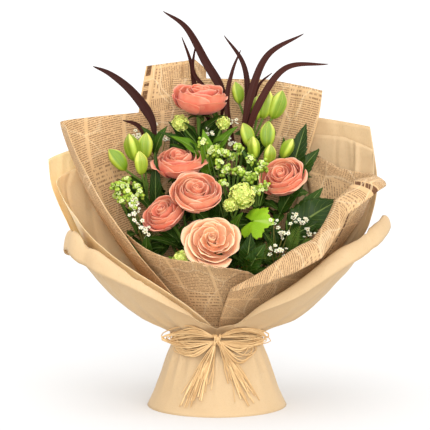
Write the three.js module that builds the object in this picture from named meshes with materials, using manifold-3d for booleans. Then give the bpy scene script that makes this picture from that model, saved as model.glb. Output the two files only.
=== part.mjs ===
// A mixed flower bouquet that stands on the flared skirt of its own paper wrap: coral roses, green lily
// buds, snowball heads, lime and white filler sprays, glossy leaves and dark strap leaves, bound at the
// waist, wrapped in printed newsprint and plain kraft paper, and tied with a raffia bow.
// Millimetres, +Z up. The viewer looks along +Y at the front of the bouquet. The tie is at Z = TIE_Z.

import * as THREE from "three";
import { mergeVertices } from "three/addons/utils/BufferGeometryUtils.js";
import Module from "manifold-3d";

const wasm = await Module();
wasm.setup();

// Driving dimensions
const TIE_Z = 100; // height of the raffia tie above the hem of the skirt
const PAPER = 0.8; // thickness of a sheet
const PITCH = 1.5; // distance from one sheet to the next at the tie
const SPREAD = 3.5; // how much further apart the sheets stand away from the tie
const SPREAD_RISE = 80; // height over which they open to that
const TUCK = 10; // length of the inner sheets below the tie
const CLEAR = 0.4; // gap that is cut between two pieces that would touch
const STEM_R = 2.45; // radius of a stem where it is bound
const STEM_PITCH = 5.25; // distance between neighbouring stems in the binding

const V = (x, y, z) => new THREE.Vector3(x, y, z);
const UP = V(0, 0, 1);
const rad = THREE.MathUtils.degToRad;
const mix = THREE.MathUtils.lerp;
const FLORET_RISE = 0.12; // how far florets stand out of a snowball head, as a share of its radius
const GOLDEN = Math.PI * (3 - Math.sqrt(5));

// A repeatable stream of numbers from 0 to 1
function stream(seed) {
  let state = seed * 7919 + 17;
  return () => {
    state = (state * 16807) % 2147483647;
    return state / 2147483647;
  };
}

// Smooth curve through [input, output] pairs, read at x
function along(pairs, x) {
  const last = pairs.length - 1;
  if (x <= pairs[0][0]) return pairs[0][1];
  if (x >= pairs[last][0]) return pairs[last][1];
  let k = 0;
  while (pairs[k + 1][0] < x) k += 1;
  const slope = (i) => {
    const a = Math.max(i - 1, 0);
    const b = Math.min(i + 1, last);
    return (pairs[b][1] - pairs[a][1]) / (pairs[b][0] - pairs[a][0]);
  };
  const step = pairs[k + 1][0] - pairs[k][0];
  const t = (x - pairs[k][0]) / step;
  const rise = pairs[k + 1][1] - pairs[k][1];
  const m0 = slope(k) * step;
  const m1 = slope(k + 1) * step;
  return pairs[k][1] + t * m0 + t * t * (3 * rise - 2 * m0 - m1) + t * t * t * (m0 + m1 - 2 * rise);
}

// Straight lines through [u, ...values] rows, read at u
function straight(rows, u) {
  let k = 0;
  while (k < rows.length - 2 && rows[k + 1][0] < u) k += 1;
  const t = (u - rows[k][0]) / (rows[k + 1][0] - rows[k][0]);
  return rows[k].slice(1).map((value, i) => mix(value, rows[k + 1][i + 1], t));
}

// Solids

function solidFrom(geometry) {
  const bare = geometry.index ? geometry.toNonIndexed() : geometry.clone();
  const points = new THREE.BufferGeometry().setAttribute("position", bare.getAttribute("position"));
  const merged = mergeVertices(points, 1e-4);
  return new wasm.Manifold(
    new wasm.Mesh({
      numProp: 3,
      vertProperties: new Float32Array(merged.attributes.position.array),
      triVerts: new Uint32Array(merged.index.array),
    }),
  );
}

function geometryFrom(solid) {
  const mesh = solid.getMesh();
  const flat = new Float32Array(mesh.numVert * 3);
  for (let i = 0; i < mesh.numVert; i += 1) {
    flat.set(mesh.vertProperties.subarray(i * mesh.numProp, i * mesh.numProp + 3), i * 3);
  }
  const geometry = new THREE.BufferGeometry();
  geometry.setAttribute("position", new THREE.BufferAttribute(flat, 3));
  geometry.setIndex(new THREE.BufferAttribute(new Uint32Array(mesh.triVerts), 1));
  return geometry.toNonIndexed();
}

const join = (solids) => wasm.Manifold.union(solids);

// The largest closed body, with no scraps and with its sealed hollows filled
function mainBody(solid) {
  const bodies = solid.decompose().filter((body) => body.volume() > 0);
  bodies.sort((a, b) => b.volume() - a.volume());
  return bodies[0];
}

// Triangles as a closed solid, turned so that its faces point out
function closed(points, faces) {
  const geometry = new THREE.BufferGeometry().setFromPoints(points);
  geometry.setIndex(faces.flat());
  const solid = solidFrom(geometry);
  if (solid.volume() > 0) return solid;
  geometry.setIndex(faces.map(([a, b, c]) => [a, c, b]).flat());
  return solidFrom(geometry);
}

// A thin blade on both sides of the surface at(i, j), i across and j along it; round closes it on itself,
// and extra makes it thicker and longer on all sides
function blade(at, across, lengthways, thickness, round = false, extra = 0) {
  const thick = thickness + 2 * extra;
  const columns = round ? across : across + 1;
  const ring = (i, j) => at(round ? (i + across) % across : i, j);
  const beyond = (edge, inside) => edge.clone().sub(inside).setLength(extra);
  const mid = (i, j) => {
    const point = ring(i, j);
    if (!extra) return point;
    if (j === 0) point.add(beyond(ring(i, 0), ring(i, 1)));
    if (j === lengthways) point.add(beyond(ring(i, j), ring(i, j - 1)));
    if (!round && i === 0) point.add(beyond(ring(0, j), ring(1, j)));
    if (!round && i === across) point.add(beyond(ring(i, j), ring(i - 1, j)));
    return point;
  };
  const points = [];
  for (const side of [0.5, -0.5]) {
    for (let i = 0; i < columns; i += 1) {
      for (let j = 0; j <= lengthways; j += 1) {
        const lowI = round ? i - 1 : Math.max(i - 1, 0);
        const highI = round ? i + 1 : Math.min(i + 1, across);
        const du = mid(highI, j).sub(mid(lowI, j));
        const dv = mid(i, Math.min(j + 1, lengthways)).sub(mid(i, Math.max(j - 1, 0)));
        points.push(mid(i, j).addScaledVector(du.cross(dv).normalize(), side * thick));
      }
    }
  }
  const rows = lengthways + 1;
  const half = columns * rows;
  const id = (i, j, side) => side * half + (i % columns) * rows + j;
  const faces = [];
  const quad = (a, b, c, d) => faces.push([a, b, c], [a, c, d]);
  for (let i = 0; i < across; i += 1) {
    for (let j = 0; j < lengthways; j += 1) {
      quad(id(i, j, 0), id(i + 1, j, 0), id(i + 1, j + 1, 0), id(i, j + 1, 0));
      faces.push([id(i, j, 1), id(i + 1, j + 1, 1), id(i + 1, j, 1)]);
      faces.push([id(i, j, 1), id(i, j + 1, 1), id(i + 1, j + 1, 1)]);
    }
    quad(id(i, 0, 1), id(i + 1, 0, 1), id(i + 1, 0, 0), id(i, 0, 0));
    quad(id(i, lengthways, 0), id(i + 1, lengthways, 0), id(i + 1, lengthways, 1), id(i, lengthways, 1));
  }
  for (let j = 0; !round && j < lengthways; j += 1) {
    quad(id(0, j, 0), id(0, j + 1, 0), id(0, j + 1, 1), id(0, j, 1));
    quad(id(across, j, 1), id(across, j + 1, 1), id(across, j + 1, 0), id(across, j, 0));
  }
  return closed(points, faces);
}

// A rod along points, with a radius at each of them
function rod(points, radii, sides) {
  const rings = [];
  let across = V(1, 0, 0);
  points.forEach((point, k) => {
    const ahead = points[Math.min(k + 1, points.length - 1)].clone();
    const way = ahead.sub(points[Math.max(k - 1, 0)]).normalize();
    if (Math.abs(across.dot(way)) > 0.95) across = V(0, 1, 0);
    across = across.clone().addScaledVector(way, -across.dot(way)).normalize();
    const other = way.clone().cross(across);
    for (let s = 0; s < sides; s += 1) {
      const turn = (s / sides) * 2 * Math.PI;
      rings.push(
        point.clone()
          .addScaledVector(across, radii[k] * Math.cos(turn))
          .addScaledVector(other, radii[k] * Math.sin(turn)),
      );
    }
  });
  const faces = [];
  for (let k = 0; k < points.length - 1; k += 1) {
    for (let s = 0; s < sides; s += 1) {
      const a = k * sides + s;
      const b = k * sides + ((s + 1) % sides);
      faces.push([a, b, b + sides], [a, b + sides, a + sides]);
    }
  }
  for (let s = 1; s < sides - 1; s += 1) {
    const top = (points.length - 1) * sides;
    faces.push([0, s + 1, s], [top, top + s, top + s + 1]);
  }
  return closed(rings, faces);
}

// Turns local +Z to a direction and moves the origin to a point
function frameAt(point, axis, spin = 0) {
  const turn = new THREE.Quaternion().setFromUnitVectors(UP, axis.clone().normalize());
  turn.multiply(new THREE.Quaternion().setFromAxisAngle(UP, spin));
  return new THREE.Matrix4().compose(point, turn, V(1, 1, 1));
}

// A turned solid from [radius, height] pairs that start and end on the axis
function turned(profile, sides, frame) {
  const outline = profile.map(([r, h]) => new THREE.Vector2(r, h));
  const geometry = new THREE.LatheGeometry(outline, sides);
  geometry.applyMatrix4(new THREE.Matrix4().makeRotationX(Math.PI / 2)).applyMatrix4(frame);
  return solidFrom(geometry);
}

// A leaf from root to tip that droops; half is its half width by share of its length
function leaf({ root, tip, half, rows, droop = 0.1, fold = 0.25, thick = 0.8 }, extra) {
  const length = root.distanceTo(tip);
  const way = tip.clone().sub(root).normalize();
  const side = way.clone().cross(V(0, -0.6, 0.8)).normalize();
  const top = side.clone().cross(way).normalize();
  const at = (i, j) => {
    const v = j / rows;
    const reach = (i - 1) * Math.max(half(v), 0.5);
    return root.clone()
      .addScaledVector(way, length * v)
      .addScaledVector(side, reach)
      .addScaledVector(top, length * droop * (4 * v * (1 - v)) + Math.abs(reach) * fold);
  };
  return blade(at, 2, rows, thick, false, extra);
}

const ovate = (width) => (v) => (v ? width * Math.sin(Math.PI * (v * 0.97 + 0.03) ** 0.8) : 1);
const toothed = (width, rows) => (v) => ovate(width)(v) * (Math.round(v * rows) % 2 ? 1.1 : 0.9);

// Paper wrap

// How far the kraft and the newsprint reach from the axis, by height above the tie
const FLARE = {
  kraft: {
    left: [[-101, 98.4], [-10, 62], [0, 60], [12, 82], [24, 107], [55, 146], [88, 173], [125, 198], [160, 216],
      [205, 238], [250, 250], [300, 256]],
    right: [[-101, 98.4], [-10, 62], [0, 60], [10, 76], [22, 108], [55, 150], [88, 182], [127, 212], [152, 228],
      [200, 246], [257, 252], [300, 254]],
    front: [[-101, 90.6], [-10, 32], [0, 28], [14, 40], [34, 68], [60, 104], [90, 132], [125, 152], [150, 162]],
    back: [[-101, 90.6], [-10, 32], [0, 28], [30, 52], [100, 84], [200, 112], [300, 130], [400, 142]],
  },
  newsprint: {
    left: [[-10, 52], [0, 52.2], [14, 61], [35, 80], [80, 116], [162, 172], [230, 206], [288, 226], [330, 232]],
    right: [[-10, 51], [0, 51.2], [10, 55], [20, 69], [38, 97], [83, 139], [125, 176], [165, 203], [200, 216],
      [245, 218], [300, 222], [345, 216]],
    front: [[-10, 21.6], [0, 21.8], [14, 28], [34, 45], [60, 74], [80, 96], [107, 128], [150, 146]],
    back: [[-10, 21], [0, 21.2], [30, 29.8], [100, 58], [200, 82], [300, 98], [400, 110]],
  },
};
const CREASES = 7; // gentle facets round the cone
const CREASE_DEPTH = 0.012; // as a share of the reach

// Point of a wrap surface: turn is 0 at the front and 90 to the right, rise is the height above the tie
function wrapBase(paper, turn, rise) {
  const a = rad(turn);
  const sides = FLARE[paper];
  const wide = along(Math.sin(a) < 0 ? sides.left : sides.right, rise);
  const deep = along(Math.cos(a) > 0 ? sides.front : sides.back, rise);
  const open = THREE.MathUtils.clamp(rise / SPREAD_RISE, 0, 1);
  const facet = 1 + open * CREASE_DEPTH * Math.cos(CREASES * a);
  return V(wide * Math.sin(a) * facet, -deep * Math.cos(a) * facet, TIE_Z + rise);
}

// The same, moved inwards by a number of sheets
function wrapPoint(paper, layer, turn, rise) {
  const step = 0.5;
  const du = wrapBase(paper, turn + step, rise).sub(wrapBase(paper, turn - step, rise));
  const dv = wrapBase(paper, turn, rise + step).sub(wrapBase(paper, turn, rise - step));
  const open = THREE.MathUtils.clamp(rise / SPREAD_RISE, 0, 1);
  const inwards = dv.cross(du).normalize();
  return wrapBase(paper, turn, rise).addScaledVector(inwards, layer * (PITCH + SPREAD * open));
}

const SHEET_LOW = [-TUCK, 0]; // rows up to the tie

// Each inner sheet: its paper and layer, where it starts and ends at the tie, and its rim as rows of
// [share along the rim, turn, rise]; sweep says how soon it swings out to the turn of its rim, and flap
// has rows of how far the folded rim reaches outwards and hangs down
const SHEETS = [
  { name: "kraft_sheet_left_back", paper: "kraft", layer: 1, foot: [-60, -180], across: 8, sweep: 0.6,
    rim: [[0, -105, 244], [0.35, -126, 260], [1, -180, 290]] },
  { name: "kraft_sheet_right_back", paper: "kraft", layer: 2, foot: [75, 180], across: 7, sweep: 0.6,
    rim: [[0, 117, 290], [0.4, 143, 302], [1, 181, 316]] },
  { name: "kraft_sheet_left", paper: "kraft", layer: 3, foot: [0, -150], across: 10, sweep: 1,
    rim: [[0, -91, 203], [0.5, -125, 232], [1, -150, 250]] },
  { name: "kraft_sheet_right", paper: "kraft", layer: 3.5, foot: [90, 150], across: 4, sweep: 1,
    rim: [[0, 114, 238], [0.2, 112, 256], [0.6, 130, 274], [1, 150, 278]] },
  { name: "newsprint_sheet_right", paper: "newsprint", layer: 0, foot: [0, 120], across: 8, sweep: 0.9,
    flap: [[0, 5, 4], [0.15, 10, 14], [0.28, 14, 26], [0.5, 30, 16], [0.6, 38, 10], [0.7, 3, 1], [1, 3, 1]],
    rim: [[0, 8, 76], [0.15, 23, 100], [0.28, 33, 128], [0.38, 42, 142], [0.5, 46, 196], [0.6, 58, 220],
      [0.75, 110, 224], [0.86, 126, 232], [1, 148, 264]] },
  { name: "newsprint_sheet_back_left", paper: "newsprint", layer: 0, foot: [-135, -180], across: 3, sweep: 1,
    rim: [[0, -154, 378], [0.9, -172, 388], [1, -176, 374]] },
  { name: "newsprint_sheet_back_right", paper: "newsprint", layer: 1, foot: [165, 210], across: 3, sweep: 1,
    rim: [[0, 134, 342], [0.6, 160, 358], [1, 196, 360]] },
  { name: "newsprint_sheet_left", paper: "newsprint", layer: 2, foot: [-15, -165], across: 10, sweep: 0.5,
    rim: [[0, -72, 292], [0.2, -96, 296], [0.7, -145, 308], [1, -172, 316]] },
  { name: "newsprint_sheet_front", paper: "newsprint", layer: 3.6, foot: [-45, 60], across: 7, sweep: 0.8,
    rim: [[0, -50, 122], [0.3, -32, 104], [0.6, -4, 95], [0.85, 20, 82], [1, 40, 64]] },
];
const HIGH_ROWS = [[14, 0.2], [34, 0.42], [60, 0.65]]; // rows above it, no higher than a share of the rim

// Heights of the rows of a sheet, given those up to the tie and its rim; sheets share the low ones, so that
// none cuts its neighbour
function rowRises(low, top) {
  const high = HIGH_ROWS.map(([rise, share]) => Math.min(rise, top * share));
  return [...low, ...high, mix(high.at(-1), top, 0.5), top];
}

function outwardAt(paper, layer, turn, rise) {
  const inner = wrapPoint(paper, layer, turn, rise);
  const out = wrapPoint(paper, layer - 1, turn, rise).sub(inner);
  return out.setZ(0).normalize();
}

function sheet({ paper, layer, foot, across, sweep, rim, flap }, extra = 0) {
  const last = SHEET_LOW.length + HIGH_ROWS.length + 1;
  const at = (i, j) => {
    const u = i / across;
    const [turn, top] = straight(rim, u);
    const rise = rowRises(SHEET_LOW, top)[Math.min(j, last)];
    const swing = Math.max(0, rise / top) ** sweep;
    const here = mix(mix(foot[0], foot[1], u), turn, swing);
    const point = wrapPoint(paper, layer, here, rise);
    if (j <= last) return point;
    const [out, down] = straight(flap, u);
    return point.addScaledVector(outwardAt(paper, layer, here, rise), out).add(V(0, 0, -down));
  };
  return blade(at, across, flap ? last + 1 : last, PAPER, false, extra);
}

// The outer sheet: skirt below the tie, two front wings and a low back above it, open in a V at the front,
// with the rim of the wings folded outwards
const OUTER_RIM = [
  [-180, 232], [-140, 170], [-110, 122], [-90, 128], [-70, 152], [-57, 134], [-42, 102], [-32, 78], [-21, 50],
  [-9, 24], [0, 17], [14, 26], [24, 54], [36, 84], [50, 134], [69, 162], [84, 168], [110, 136], [140, 166],
  [180, 232],
];
const OUTER_FLAP = [ // turn, how far the folded rim reaches outwards, how far it hangs down
  [-180, 3, 0], [-110, 4, 2], [-80, 8, 24], [-60, 9, 30], [-40, 7, 16], [-15, 4, 2], [0, 3, 0], [15, 4, 2],
  [35, 9, 16], [55, 13, 26], [75, 11, 20], [100, 4, 2], [180, 3, 0],
];
const OUTER_ACROSS = 24;
const OUTER_LOW = [-TIE_Z - 1, -TUCK, 0]; // rows of the skirt, from just below its hem

function outerSheet(extra = 0) {
  const last = OUTER_LOW.length + HIGH_ROWS.length + 1;
  const at = (i, j) => {
    const turn = -180 + (360 * i) / OUTER_ACROSS;
    const rise = rowRises(OUTER_LOW, along(OUTER_RIM, turn))[Math.min(j, last)];
    const point = wrapPoint("kraft", 0, turn, rise);
    if (j <= last) return point;
    const [out, down] = straight(OUTER_FLAP, turn);
    return point.addScaledVector(outwardAt("kraft", 0, turn, rise), out).add(V(0, 0, -down));
  };
  return blade(at, OUTER_ACROSS, last + 1, PAPER, true, extra);
}

// Raffia tie: a band that hugs the waist, a knot, loops to both sides and two hanging bunches
const BAND_THICK = 2.2;
const BAND_ROWS = [[-9, 2], [2, 4.5]]; // rise, and distance from the middle of the outer sheet
const KNOT = V(0, -48, TIE_Z + 1);
const STRAND_R = 1.8;
const STRAND_SIDES = 3;

function band() {
  const at = (i, j) => {
    const turn = -180 + (360 * i) / OUTER_ACROSS;
    const [rise, offset] = BAND_ROWS[j];
    return wrapPoint("kraft", -offset / PITCH, turn, rise);
  };
  return blade(at, OUTER_ACROSS, BAND_ROWS.length - 1, BAND_THICK, true);
}

// A strand through points, smooth, with its ends in the knot or free
function strand(points, steps, radius = STRAND_R) {
  const path = new THREE.CatmullRomCurve3(points, false, "centripetal").getPoints(steps);
  return rod(path, path.map(() => radius), STRAND_SIDES);
}

// Point a little in front of the outer sheet, at an x and a height
function beforeSkirt(x, z, gap) {
  const rise = z - TIE_Z;
  const wide = along(FLARE.kraft.right, rise);
  const deep = along(FLARE.kraft.front, rise);
  const share = THREE.MathUtils.clamp(x / wide, -0.93, 0.93);
  return V(x, -deep * Math.sqrt(1 - share * share) - gap, z);
}

const LOOPS = [ // reach to the side, top, bottom and extra distance from the wrap
  [-80, 116, 92, 10], [-60, 106, 76, 6], [76, 117, 90, 10], [58, 106, 75, 6],
];
const TAILS = [ // end x and z, and distance from the wrap
  [-36, 12, 3], [-25, 20, 3], [-14, 34, 3], [42, 14, 3], [31, 22, 3], [20, 38, 3],
];

function raffia() {
  const solids = [band()];
  const knot = [KNOT.clone().add(V(0, 4, 9)), KNOT, KNOT.clone().add(V(0, 3, -10))];
  solids.push(rod(knot, [6, 9, 6], 6));
  for (const [reach, top, bottom, gap] of LOOPS) {
    const side = Math.sign(reach);
    const away = V(0, -gap, 0);
    const start = KNOT.clone().add(V(side * 3, 0, 2));
    const high = beforeSkirt(reach * 0.5, top, gap);
    const end = V(reach, beforeSkirt(reach, TIE_Z, 3).y, (top + bottom) / 2 - 3).add(away);
    const low = V(reach * 0.6, beforeSkirt(reach * 0.6, bottom, 3).y, bottom).add(away);
    solids.push(strand([start, high, end, low, KNOT.clone().add(V(side * 2, 0, -4))], 5));
  }
  for (const [x, z, gap] of TAILS) {
    const points = [KNOT.clone().add(V(Math.sign(x) * 2, 0, -5))];
    for (const share of [0.35, 0.7, 1]) {
      const height = mix(KNOT.z - 8, z, share);
      points.push(beforeSkirt(mix(0, x, share ** 0.8), height, gap + 1));
    }
    solids.push(strand(points, 3));
  }
  return solids;
}

// Flowers and foliage

const STEM_SIDES = 4;
const TWIG_SIDES = 3;
const STEM_TOP = TIE_Z + 14; // the stems are straight and side by side up to here
const FORK_STEP = 0.018; // share of the stem between one branch and the next

// Places of stems in the binding, from the middle outwards
function bindingSlots() {
  const slots = [];
  for (let row = -3; row <= 3; row += 1) {
    for (let column = -5; column <= 5; column += 1) {
      slots.push([(column + (row % 2 ? 0.5 : 0)) * STEM_PITCH, row * STEM_PITCH * Math.sqrt(0.75)]);
    }
  }
  return slots.sort((a, b) => Math.hypot(a[0], a[1] * 1.6) - Math.hypot(b[0], b[1] * 1.6));
}

// A stem from its cut end, through its place in the binding and past any points on the way, to its top
function stemPath({ slot, foot, via = [], top, arrive = UP, steps = 5 }) {
  const [x, y] = slot;
  const points = [V(x, y, foot), V(x, y, TIE_Z - 20), V(x, y, STEM_TOP)];
  via.forEach((point) => points.push(V(...point)));
  points.push(top.clone().addScaledVector(arrive, -24), top);
  const curve = new THREE.CatmullRomCurve3(points.slice(1), false, "centripetal");
  return { curve, line: [points[0], ...curve.getPoints(steps)] };
}

function stemRod(path, radius, extra, tipShare = 0.8) {
  const last = path.line.length - 1;
  const radii = path.line.map((_, k) => radius * (k === last ? tipShare : 1) + extra);
  return rod(path.line, radii, STEM_SIDES);
}

function twig(start, end, radius, extra) {
  return rod([start, end], [radius * 1.2 + extra, radius + extra], TWIG_SIDES);
}

// Rose bloom: petals in three rings round a closed heart, all from one cup
const ROSE_RINGS = [
  { count: 5, half: 42, width: [0.25, 1, 0.92], twist: 3, turn: 0, rows: 2,
    profile: [[0, 9, 5], [0.5, 31, 16], [1, 39, 27]] },
  { count: 3, half: 66, width: [0.3, 1, 0.85], twist: 2.2, turn: 30, rows: 1,
    profile: [[0, 10, 12], [1, 25, 33]] },
  { count: 2, half: 92, width: [0.3, 1, 0.9], twist: 1.8, turn: 10, rows: 1,
    profile: [[0, 7, 22], [1, 13, 38]] },
];
const ROSE_ACROSS = 2;
const ROSE_BELOW = 22; // how far the foot of a bloom is below its place
const SEPAL_R = 20;
const HIP_SHARE = 1.7; // how much wider the stem is under the bloom
const ROSE_CUP = [[0, 0], [9, 1], [16, 8], [10, 24], [0, 34]];
const ROSE_CLEAR = [[0, -0.5], [13, -0.5], [33, 8], [43, 18], [45, 29], [34, 39], [14, 42], [0, 42]];

function rosePetal(ring, k, size, frame) {
  const { half, width, twist, rows, profile } = ring;
  const middle = rad(ring.turn + (360 * k) / ring.count);
  const at = (i, j) => {
    const u = (2 * i) / ROSE_ACROSS - 1;
    const v = j / rows;
    const [r, h] = straight(profile, v);
    const [share] = straight([[0, width[0]], [0.6, width[1]], [1, width[2]]], v);
    const angle = middle + rad(half) * u * share;
    const reach = (r + twist * u) * size;
    const lift = (h - 4 * u * u * v) * size;
    return V(reach * Math.cos(angle), reach * Math.sin(angle), lift).applyMatrix4(frame);
  };
  return blade(at, ROSE_ACROSS, rows, 0.9);
}

function roseBloom({ at, axis, size, spin = 0 }, extra) {
  const way = V(...axis).normalize();
  const frame = frameAt(V(...at).addScaledVector(way, -ROSE_BELOW * size), way, rad(spin));
  const sized = (profile, more) => profile.map(([r, h]) => [r ? r * size + more : 0, h * size]);
  if (extra) return [turned(sized(ROSE_CLEAR, extra), 9, frame)];
  const solids = [turned(sized(ROSE_CUP, 0), 4, frame)];
  for (const ring of ROSE_RINGS) {
    for (let k = 0; k < ring.count; k += 1) solids.push(rosePetal(ring, k, size, frame));
  }
  return solids;
}

// Below the bloom: a star of five sepals at the top of the stem
function calyx(end, way, size, extra) {
  return [blossom(end.clone().addScaledVector(way, -2.5), way, SEPAL_R * size, 5, extra)];
}

// Lily bud on its stalk, blunt at the tip, as [radius, height from its middle]
const BUD_OUTLINE = [[1.6, -20], [7.2, -12], [8.2, 5], [1.2, 20]];

function lilyBud(fork, { at, axis, size }, extra) {
  const outline = BUD_OUTLINE.map(([r, h]) => [r * size, h * size]);
  return budOnTwig(fork, V(...at), V(...axis).normalize(), outline, 1.5, 5, extra);
}

// A small open blossom: a flat star of rounded petals with a raised middle
function blossom(at, way, radius, petals, extra) {
  const frame = frameAt(at, way);
  const point = (r, turn, h) => V(r * Math.cos(turn), r * Math.sin(turn), h).applyMatrix4(frame);
  const points = [point(0, 0, -1.2 - extra), point(0, 0, 1.2 + extra)];
  const rim = petals * 2;
  for (let k = 0; k < rim; k += 1) {
    points.push(point((k % 2 ? radius * 0.5 : radius) + extra, (2 * Math.PI * k) / rim, k % 2 ? 0 : 0.8));
  }
  const faces = [];
  for (let k = 0; k < rim; k += 1) {
    const next = 2 + ((k + 1) % rim);
    faces.push([0, next, 2 + k], [1, 2 + k, next]);
  }
  return closed(points, faces);
}

// Snowball head: a ball whose surface rises to the tips of many small florets
function snowball({ at, radius, florets }, extra) {
  const middle = V(...at);
  if (extra) return [ball(middle, radius * (1 + FLORET_RISE) + extra)];
  const geometry = mergeVertices(bareBall(radius, radius > 14 ? 2 : 1), 1e-4);
  const points = geometry.attributes.position;
  const heights = Array.from({ length: florets }, (_, k) => 1 - (2 * (k + 0.5)) / florets);
  const tips = heights.map((h, k) => {
    const r = Math.sqrt(1 - h * h);
    return V(r * Math.cos(GOLDEN * k), r * Math.sin(GOLDEN * k), h);
  });
  for (let i = 0; i < points.count; i += 1) {
    const way = V(points.getX(i), points.getY(i), points.getZ(i)).normalize();
    const near = Math.max(...tips.map((tip) => tip.dot(way)));
    const wave = Math.cos(Math.acos(Math.min(near, 1)) * Math.sqrt(florets) * 1.6);
    const reach = radius * (1 + FLORET_RISE * wave);
    points.setXYZ(i, middle.x + way.x * reach, middle.y + way.y * reach, middle.z + way.z * reach);
  }
  return [solidFrom(geometry)];
}

function bareBall(radius, detail) {
  const geometry = new THREE.IcosahedronGeometry(radius, detail);
  return new THREE.BufferGeometry().setAttribute("position", geometry.getAttribute("position"));
}

function ball(middle, radius, detail = 1) {
  return solidFrom(new THREE.IcosahedronGeometry(radius, detail).translate(middle.x, middle.y, middle.z));
}

// A bud on its twig as one body: the twig from root to the bud, then the bud's [radius, height] outline
function budOnTwig(root, at, way, outline, twigR, sides, extra) {
  const points = [root];
  const radii = [twigR + extra];
  for (const [radius, height] of outline) {
    points.push(at.clone().addScaledVector(way, height));
    radii.push(radius + extra);
  }
  return rod(points, radii, sides);
}

// A blossom of five petals on its twig as one body
function blossomOnTwig(root, at, way, radius, twigR, extra) {
  const frame = frameAt(at, way);
  const stalk = at.clone().sub(root).normalize();
  const x = V(1, 0, 0).transformDirection(frame);
  const across = x.clone().addScaledVector(stalk, -x.dot(stalk)).normalize();
  const other = stalk.clone().cross(across);
  const points = [];
  for (let k = 0; k < 5; k += 1) {
    const turn = (2 * Math.PI * k) / 5;
    const r = twigR + extra;
    const offset = across.clone().multiplyScalar(r * Math.cos(turn));
    points.push(root.clone().add(offset).addScaledVector(other, r * Math.sin(turn)));
  }
  const local = (r, turn, h) => V(r * Math.cos(turn), r * Math.sin(turn), h).applyMatrix4(frame);
  for (let k = 0; k < 5; k += 1) points.push(local(twigR + extra, (2 * Math.PI * k) / 5, -2.4 - extra));
  for (let k = 0; k < 10; k += 1) {
    points.push(local((k % 2 ? radius * 0.5 : radius) + extra, (Math.PI * k) / 5, k % 2 ? 0 : 0.8));
  }
  points.push(local(0, 0, 1.2 + extra));
  const faces = [[0, 2, 1], [0, 3, 2], [0, 4, 3]];
  for (let k = 0; k < 5; k += 1) {
    const next = (k + 1) % 5;
    const tip = 10 + 2 * k;
    const notch = tip + 1;
    const nextTip = 10 + 2 * next;
    faces.push([k, next, 5 + next], [k, 5 + next, 5 + k]);
    faces.push([5 + k, notch, tip], [5 + k, 5 + next, notch], [5 + next, nextTip, notch]);
    faces.push([20, tip, notch], [20, notch, nextTip]);
  }
  return closed(points, faces);
}

// Lobed leaf: five rounded lobes round the end of its stalk, cut to points between them
const LOBES = [0.45, 0.62, 0.5, 0.88, 0.62, 1, 0.62, 0.88, 0.5, 0.62, 0.45];

function lobedLeaf({ root, tip, face, thick = 0.9 }, extra) {
  const way = tip.clone().sub(root);
  const length = way.length();
  way.normalize();
  const side = way.clone().cross(face).normalize();
  const top = side.clone().cross(way).normalize();
  const middle = root.clone().addScaledVector(way, length * 0.35);
  const at = (i, j) => {
    const turn = mix(-2.6, 2.6, i / (LOBES.length - 1));
    const reach = j === 0 ? 1.2 : (LOBES[i] * length * 0.65 * j) / 2;
    return middle.clone()
      .addScaledVector(way, reach * Math.cos(turn))
      .addScaledVector(side, reach * Math.sin(turn))
      .addScaledVector(top, -reach * reach * 0.008);
  };
  return blade(at, LOBES.length - 1, 2, thick, false, extra);
}

// The plants. Every stem has one place in the binding; top is where its flowers or branches begin

const ROSES = [
  { name: "rose_1", at: [-24, 36, 429], axis: [0.05, -0.25, 0.97], size: 1.03, spin: 10,
    leaves: [[0.8, [-70, 52, 398], 13], [0.84, [16, 60, 402], 12]] },
  { name: "rose_2", at: [-53, 14, 339], axis: [-0.05, -0.35, 0.93], size: 0.95, spin: 50, via: [[-42, 22, 240]],
    leaves: [[0.84, [-66, 56, 384], 13]] },
  { name: "rose_3", at: [-29, -46, 300], axis: [0.05, -0.66, 0.75], size: 0.92, spin: 85,
    leaves: [[0.6, [-52, -30, 226], 11]] },
  { name: "rose_4", at: [-72, -34, 271], axis: [-0.45, -0.55, 0.7], size: 0.8, spin: 20,
    leaves: [[0.7, [-96, -52, 240], 12], [0.75, [-104, -8, 262], 12]] },
  { name: "rose_5", at: [-7, -80, 238], axis: [0.05, -0.86, 0.5], size: 1.03, spin: 65,
    leaves: [[0.7, [44, -72, 234], 12]] },
  { name: "rose_6", at: [91, -12, 319], axis: [-0.35, -0.6, 0.72], size: 0.87, spin: 35, via: [[84, 10, 262]],
    leaves: [[0.8, [128, 14, 322], 13]] },
];

const LILIES = [
  { name: "lily_left", top: [-98, 26, 312], via: [[-62, 18, 222]],
    buds: [[[-140, 10, 345], [-0.6, -0.1, 0.75], 0.95], [[-119, 16, 362], [-0.25, 0, 1], 1],
      [[-101, 30, 364], [0.05, 0, 1], 0.95], [[-107, 0, 341], [-0.1, -0.2, 1], 0.85]],
    leaves: [[0.8, [-142, 30, 318], 7]] },
  { name: "lily_back", top: [50, 64, 384], via: [[22, 36, 250]],
    buds: [[[29, 60, 439], [-0.2, 0, 1], 0.8], [[57, 58, 417], [0, -0.1, 1], 0.7], [[69, 58, 424], [0.15, 0, 1], 1],
      [[86, 56, 422], [0.35, 0, 0.95], 0.95]],
    leaves: [[0.8, [92, 78, 388], 7]] },
  { name: "lily_right", top: [66, 24, 322], via: [[34, 12, 222]],
    buds: [[[42, 34, 379], [-0.3, 0.1, 1], 0.9], [[52, 16, 362], [-0.1, -0.1, 1], 0.8],
      [[72, 34, 380], [0.05, 0.1, 1], 0.95], [[73, 10, 352], [0.1, -0.3, 0.9], 0.8],
      [[100, 34, 360], [0.5, 0.1, 0.9], 0.8]],
    leaves: [[0.85, [112, 42, 344], 7]] },
];

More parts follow.
